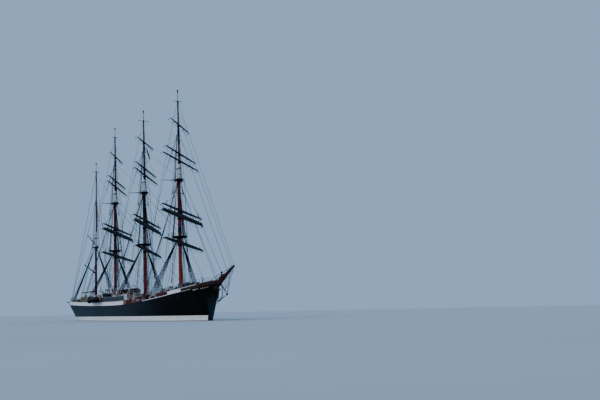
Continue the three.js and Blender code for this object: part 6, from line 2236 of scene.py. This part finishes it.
def build_stays():
    """The lighter stays, and a small furled roll on two ropes ahead of the main topgallant mast."""
    shape = Shape(WIRE)
    for upper, z, lower, low, radius in STAYS:
        shape.bar(fore_face(upper, z), mast_face(lower, low, -0.32, -0.2), radius, WIRE, 5)
    for z, foot, radius in HEAD_STAYS:
        foot = Vector(foot)
        shape.bar(fore_face("fore", z), foot, radius, WIRE, 5)
        block_on(shape, foot + up(0.05), 0.14)
    top, low = STICK
    shape.bar(fore_face("main", 47.9), top, 0.05, WIRE, 5)
    shape.bar(fore_face("main", 43.6), low, 0.03, WIRE, 5)
    # The roll is furled canvas painted dark as painted shade.
    shape.tube([top.lerp(low, i / 6) for i in range(7)], STICK_RADII, SAIL_PAINTED_SHADE, 10)
    shape.make("stays")


def build_jigger_rigging():
    shape = Shape(WIRE)
    at = mast_at(JIGGER_X)
    for side in (1, -1):
        heads = on_mast(at, 4, -0.3, 0.04, side * 0.36, along(22.7))
        feet = [rail_point(JIGGER_X + 0.3 - 1.15 * i, side) for i in range(4)]
        shroud_gang(shape, heads, feet, 0.08, 0.035)
        for head, foot in zip(heads, feet):
            screw(shape, foot, head)
        heads = on_mast(at, 3, UPPER_AXIS - 0.1, 0.04, side * 0.2, along(38.5))
        feet = on_mast(at, 3, 0.3, 0.55, side * 1.0, along(JIGGER_TOP_Z) + 0.02)
        shroud_gang(shape, heads, feet, 0.03, 0.016, 0.45, 0.05, 0.8)
        for z, aft, axis in JIGGER_BACKSTAYS:
            head = at @ Vector((axis - 0.2, side * 0.15, along(z)))
            foot = rail_point(JIGGER_X - aft, side)
            shape.bar(foot, head, 0.05, WIRE, 5)
            screw(shape, foot, head)
    shape.make("jigger_rigging")


def build_falls(name, x, level):
    """Halyards and clewlines that lead down abaft a mast to its pin rails."""
    shape = Shape(ROPE)
    at = mast_at(x)
    deck_z = sheer(x) + level
    for side in (1, -1):
        for i, (ahead, y, z) in enumerate(FALLS):
            head = at @ Vector((ahead, side * y, along(z)))
            foot = (x - 1.2 - 0.35 * i, side * (1.7 + 0.02 * i), deck_z + 1.1)
            shape.bar(foot, head, 0.026 if i % 2 else 0.032, ROPE if i % 3 else PALE_ROPE, 4)
        for i, (z, aft, y) in enumerate(LONG_FALLS):
            axis = UPPER_AXIS if z > HEAD_Z else LOWER_AXIS
            head = at @ Vector((axis - 0.45, side * 0.25, along(z)))
            foot = Vector((x - aft, side * y, deck_z + 0.9))
            shape.bar(foot, head, 0.03, ROPE, 4)
            block_on(shape, foot.lerp(head, 0.3 + 0.08 * i), 0.13)
    shape.make(f"{name}_falls")


def build_gaff_rigging():
    """Topping lifts that turn with the lower gaff and the boom, from bands on the mast's line."""
    for name, z, aft, rise, radius, body, _, lift in GAFFS:
        if not lift:
            continue
        shape = Shape(WIRE)
        axis = mast_at(JIGGER_X) @ spot(PIN_AXIS, 0, along(z))
        for part in (0.55, 0.95):
            shape.bar((-aft * part, 0, rise * part + radius), (-0.12, 0, lift), 0.025, WIRE, 5, axis)
        shape.bar((-0.12, 0, 0.2), (-0.12, 0, lift), 0.03, WIRE, 5, axis)
        shape.make(f"{name}_lifts", body)


# Making everything

build_plating()
build_ports()
build_poop()
build_forecastle()
build_well()
build_rails()
build_screens()
for house in HOUSES:
    build_house(*house)
for mast_i, (mast_name, (mast_x, deck_level, braces)) in enumerate(SQUARE_MASTS.items()):
    build_lower_mast(mast_name, mast_x, deck_level)
    build_crosstrees(mast_name, mast_x)
    build_topgallant(mast_name, mast_x)
    for yard_i, (yard_row, brace_angle) in enumerate(zip(YARDS, braces)):
        build_yard(mast_name, mast_x, yard_row, brace_angle, mast_i * len(YARDS) + yard_i)
build_jigger()
build_gaffs()
build_covered_boats()
build_work_boat()
build_bowsprit()
build_headsails()
build_bow_gear()
build_anchors()
build_poop_gear()
build_roof_gear()
build_well_gear()
build_locker()
build_windlass()
build_forecastle_gear()
build_quarter_gear()
for mast_name, (mast_x, deck_level, _) in SQUARE_MASTS.items():
    build_shrouds(mast_name, mast_x)
    build_backstays(mast_name, mast_x)
    build_falls(mast_name, mast_x, deck_level)
build_stays()
build_jigger_rigging()
build_gaff_rigging()

# Finishes of the nodes that stay as they are

FINISHES = {
    "rudder": BOTTOM_RED,
    "propeller": BRONZE,
    "helm_stand": TEAK,
    "helm_wheel": TEAK,
    "fore_stay": WIRE,
    "fore_topmast_stay": WIRE,
    "main_stay": WIRE,
    "mizzen_stay": WIRE,
    "jigger_stay": WIRE,
}
for node_name, finish in FINISHES.items():
    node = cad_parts[node_name]
    node.data.materials.clear()
    node.data.materials.append(finish)

# Floor and light

FLOOR_REACH = 1500
SKY_COLOUR = (0.29, 0.45, 0.68, 1)
SUN_COLOUR = (1.0, 0.95, 0.9)
SUN_TOWARD = (-0.25, 0.8, -0.45)


def make_floor():
    """A pale floor at the waterline."""
    n = Nodes("pale_floor")
    material = n.finish(n.spread(0.4, 3, (0.50, 0.56, 0.62), (0.54, 0.60, 0.66)), 0.8, 0.2)
    mesh = bpy.data.meshes.new("floor")
    r = FLOOR_REACH * S
    mesh.from_pydata([(-r, -r, 0), (r, -r, 0), (r, r, 0), (-r, r, 0)], [], [(0, 1, 2, 3)])
    mesh.materials.append(material)
    put_in("floor", mesh)


def make_light():
    world = bpy.data.worlds.new("studio")
    bpy.context.scene.world = world
    world.use_nodes = True
    background = world.node_tree.nodes["Background"]
    background.inputs["Color"].default_value = SKY_COLOUR
    background.inputs["Strength"].default_value = 1.0
    sun = bpy.data.lights.new("soft_key", "SUN")
    sun.energy = 1.3
    sun.angle = 0.6
    sun.color = SUN_COLOUR
    key = put_in("soft_key", sun)
    key.rotation_euler = Vector(SUN_TOWARD).normalized().to_track_quat("-Z", "Y").to_euler()


make_floor()
make_light()
bpy.context.view_layer.update()
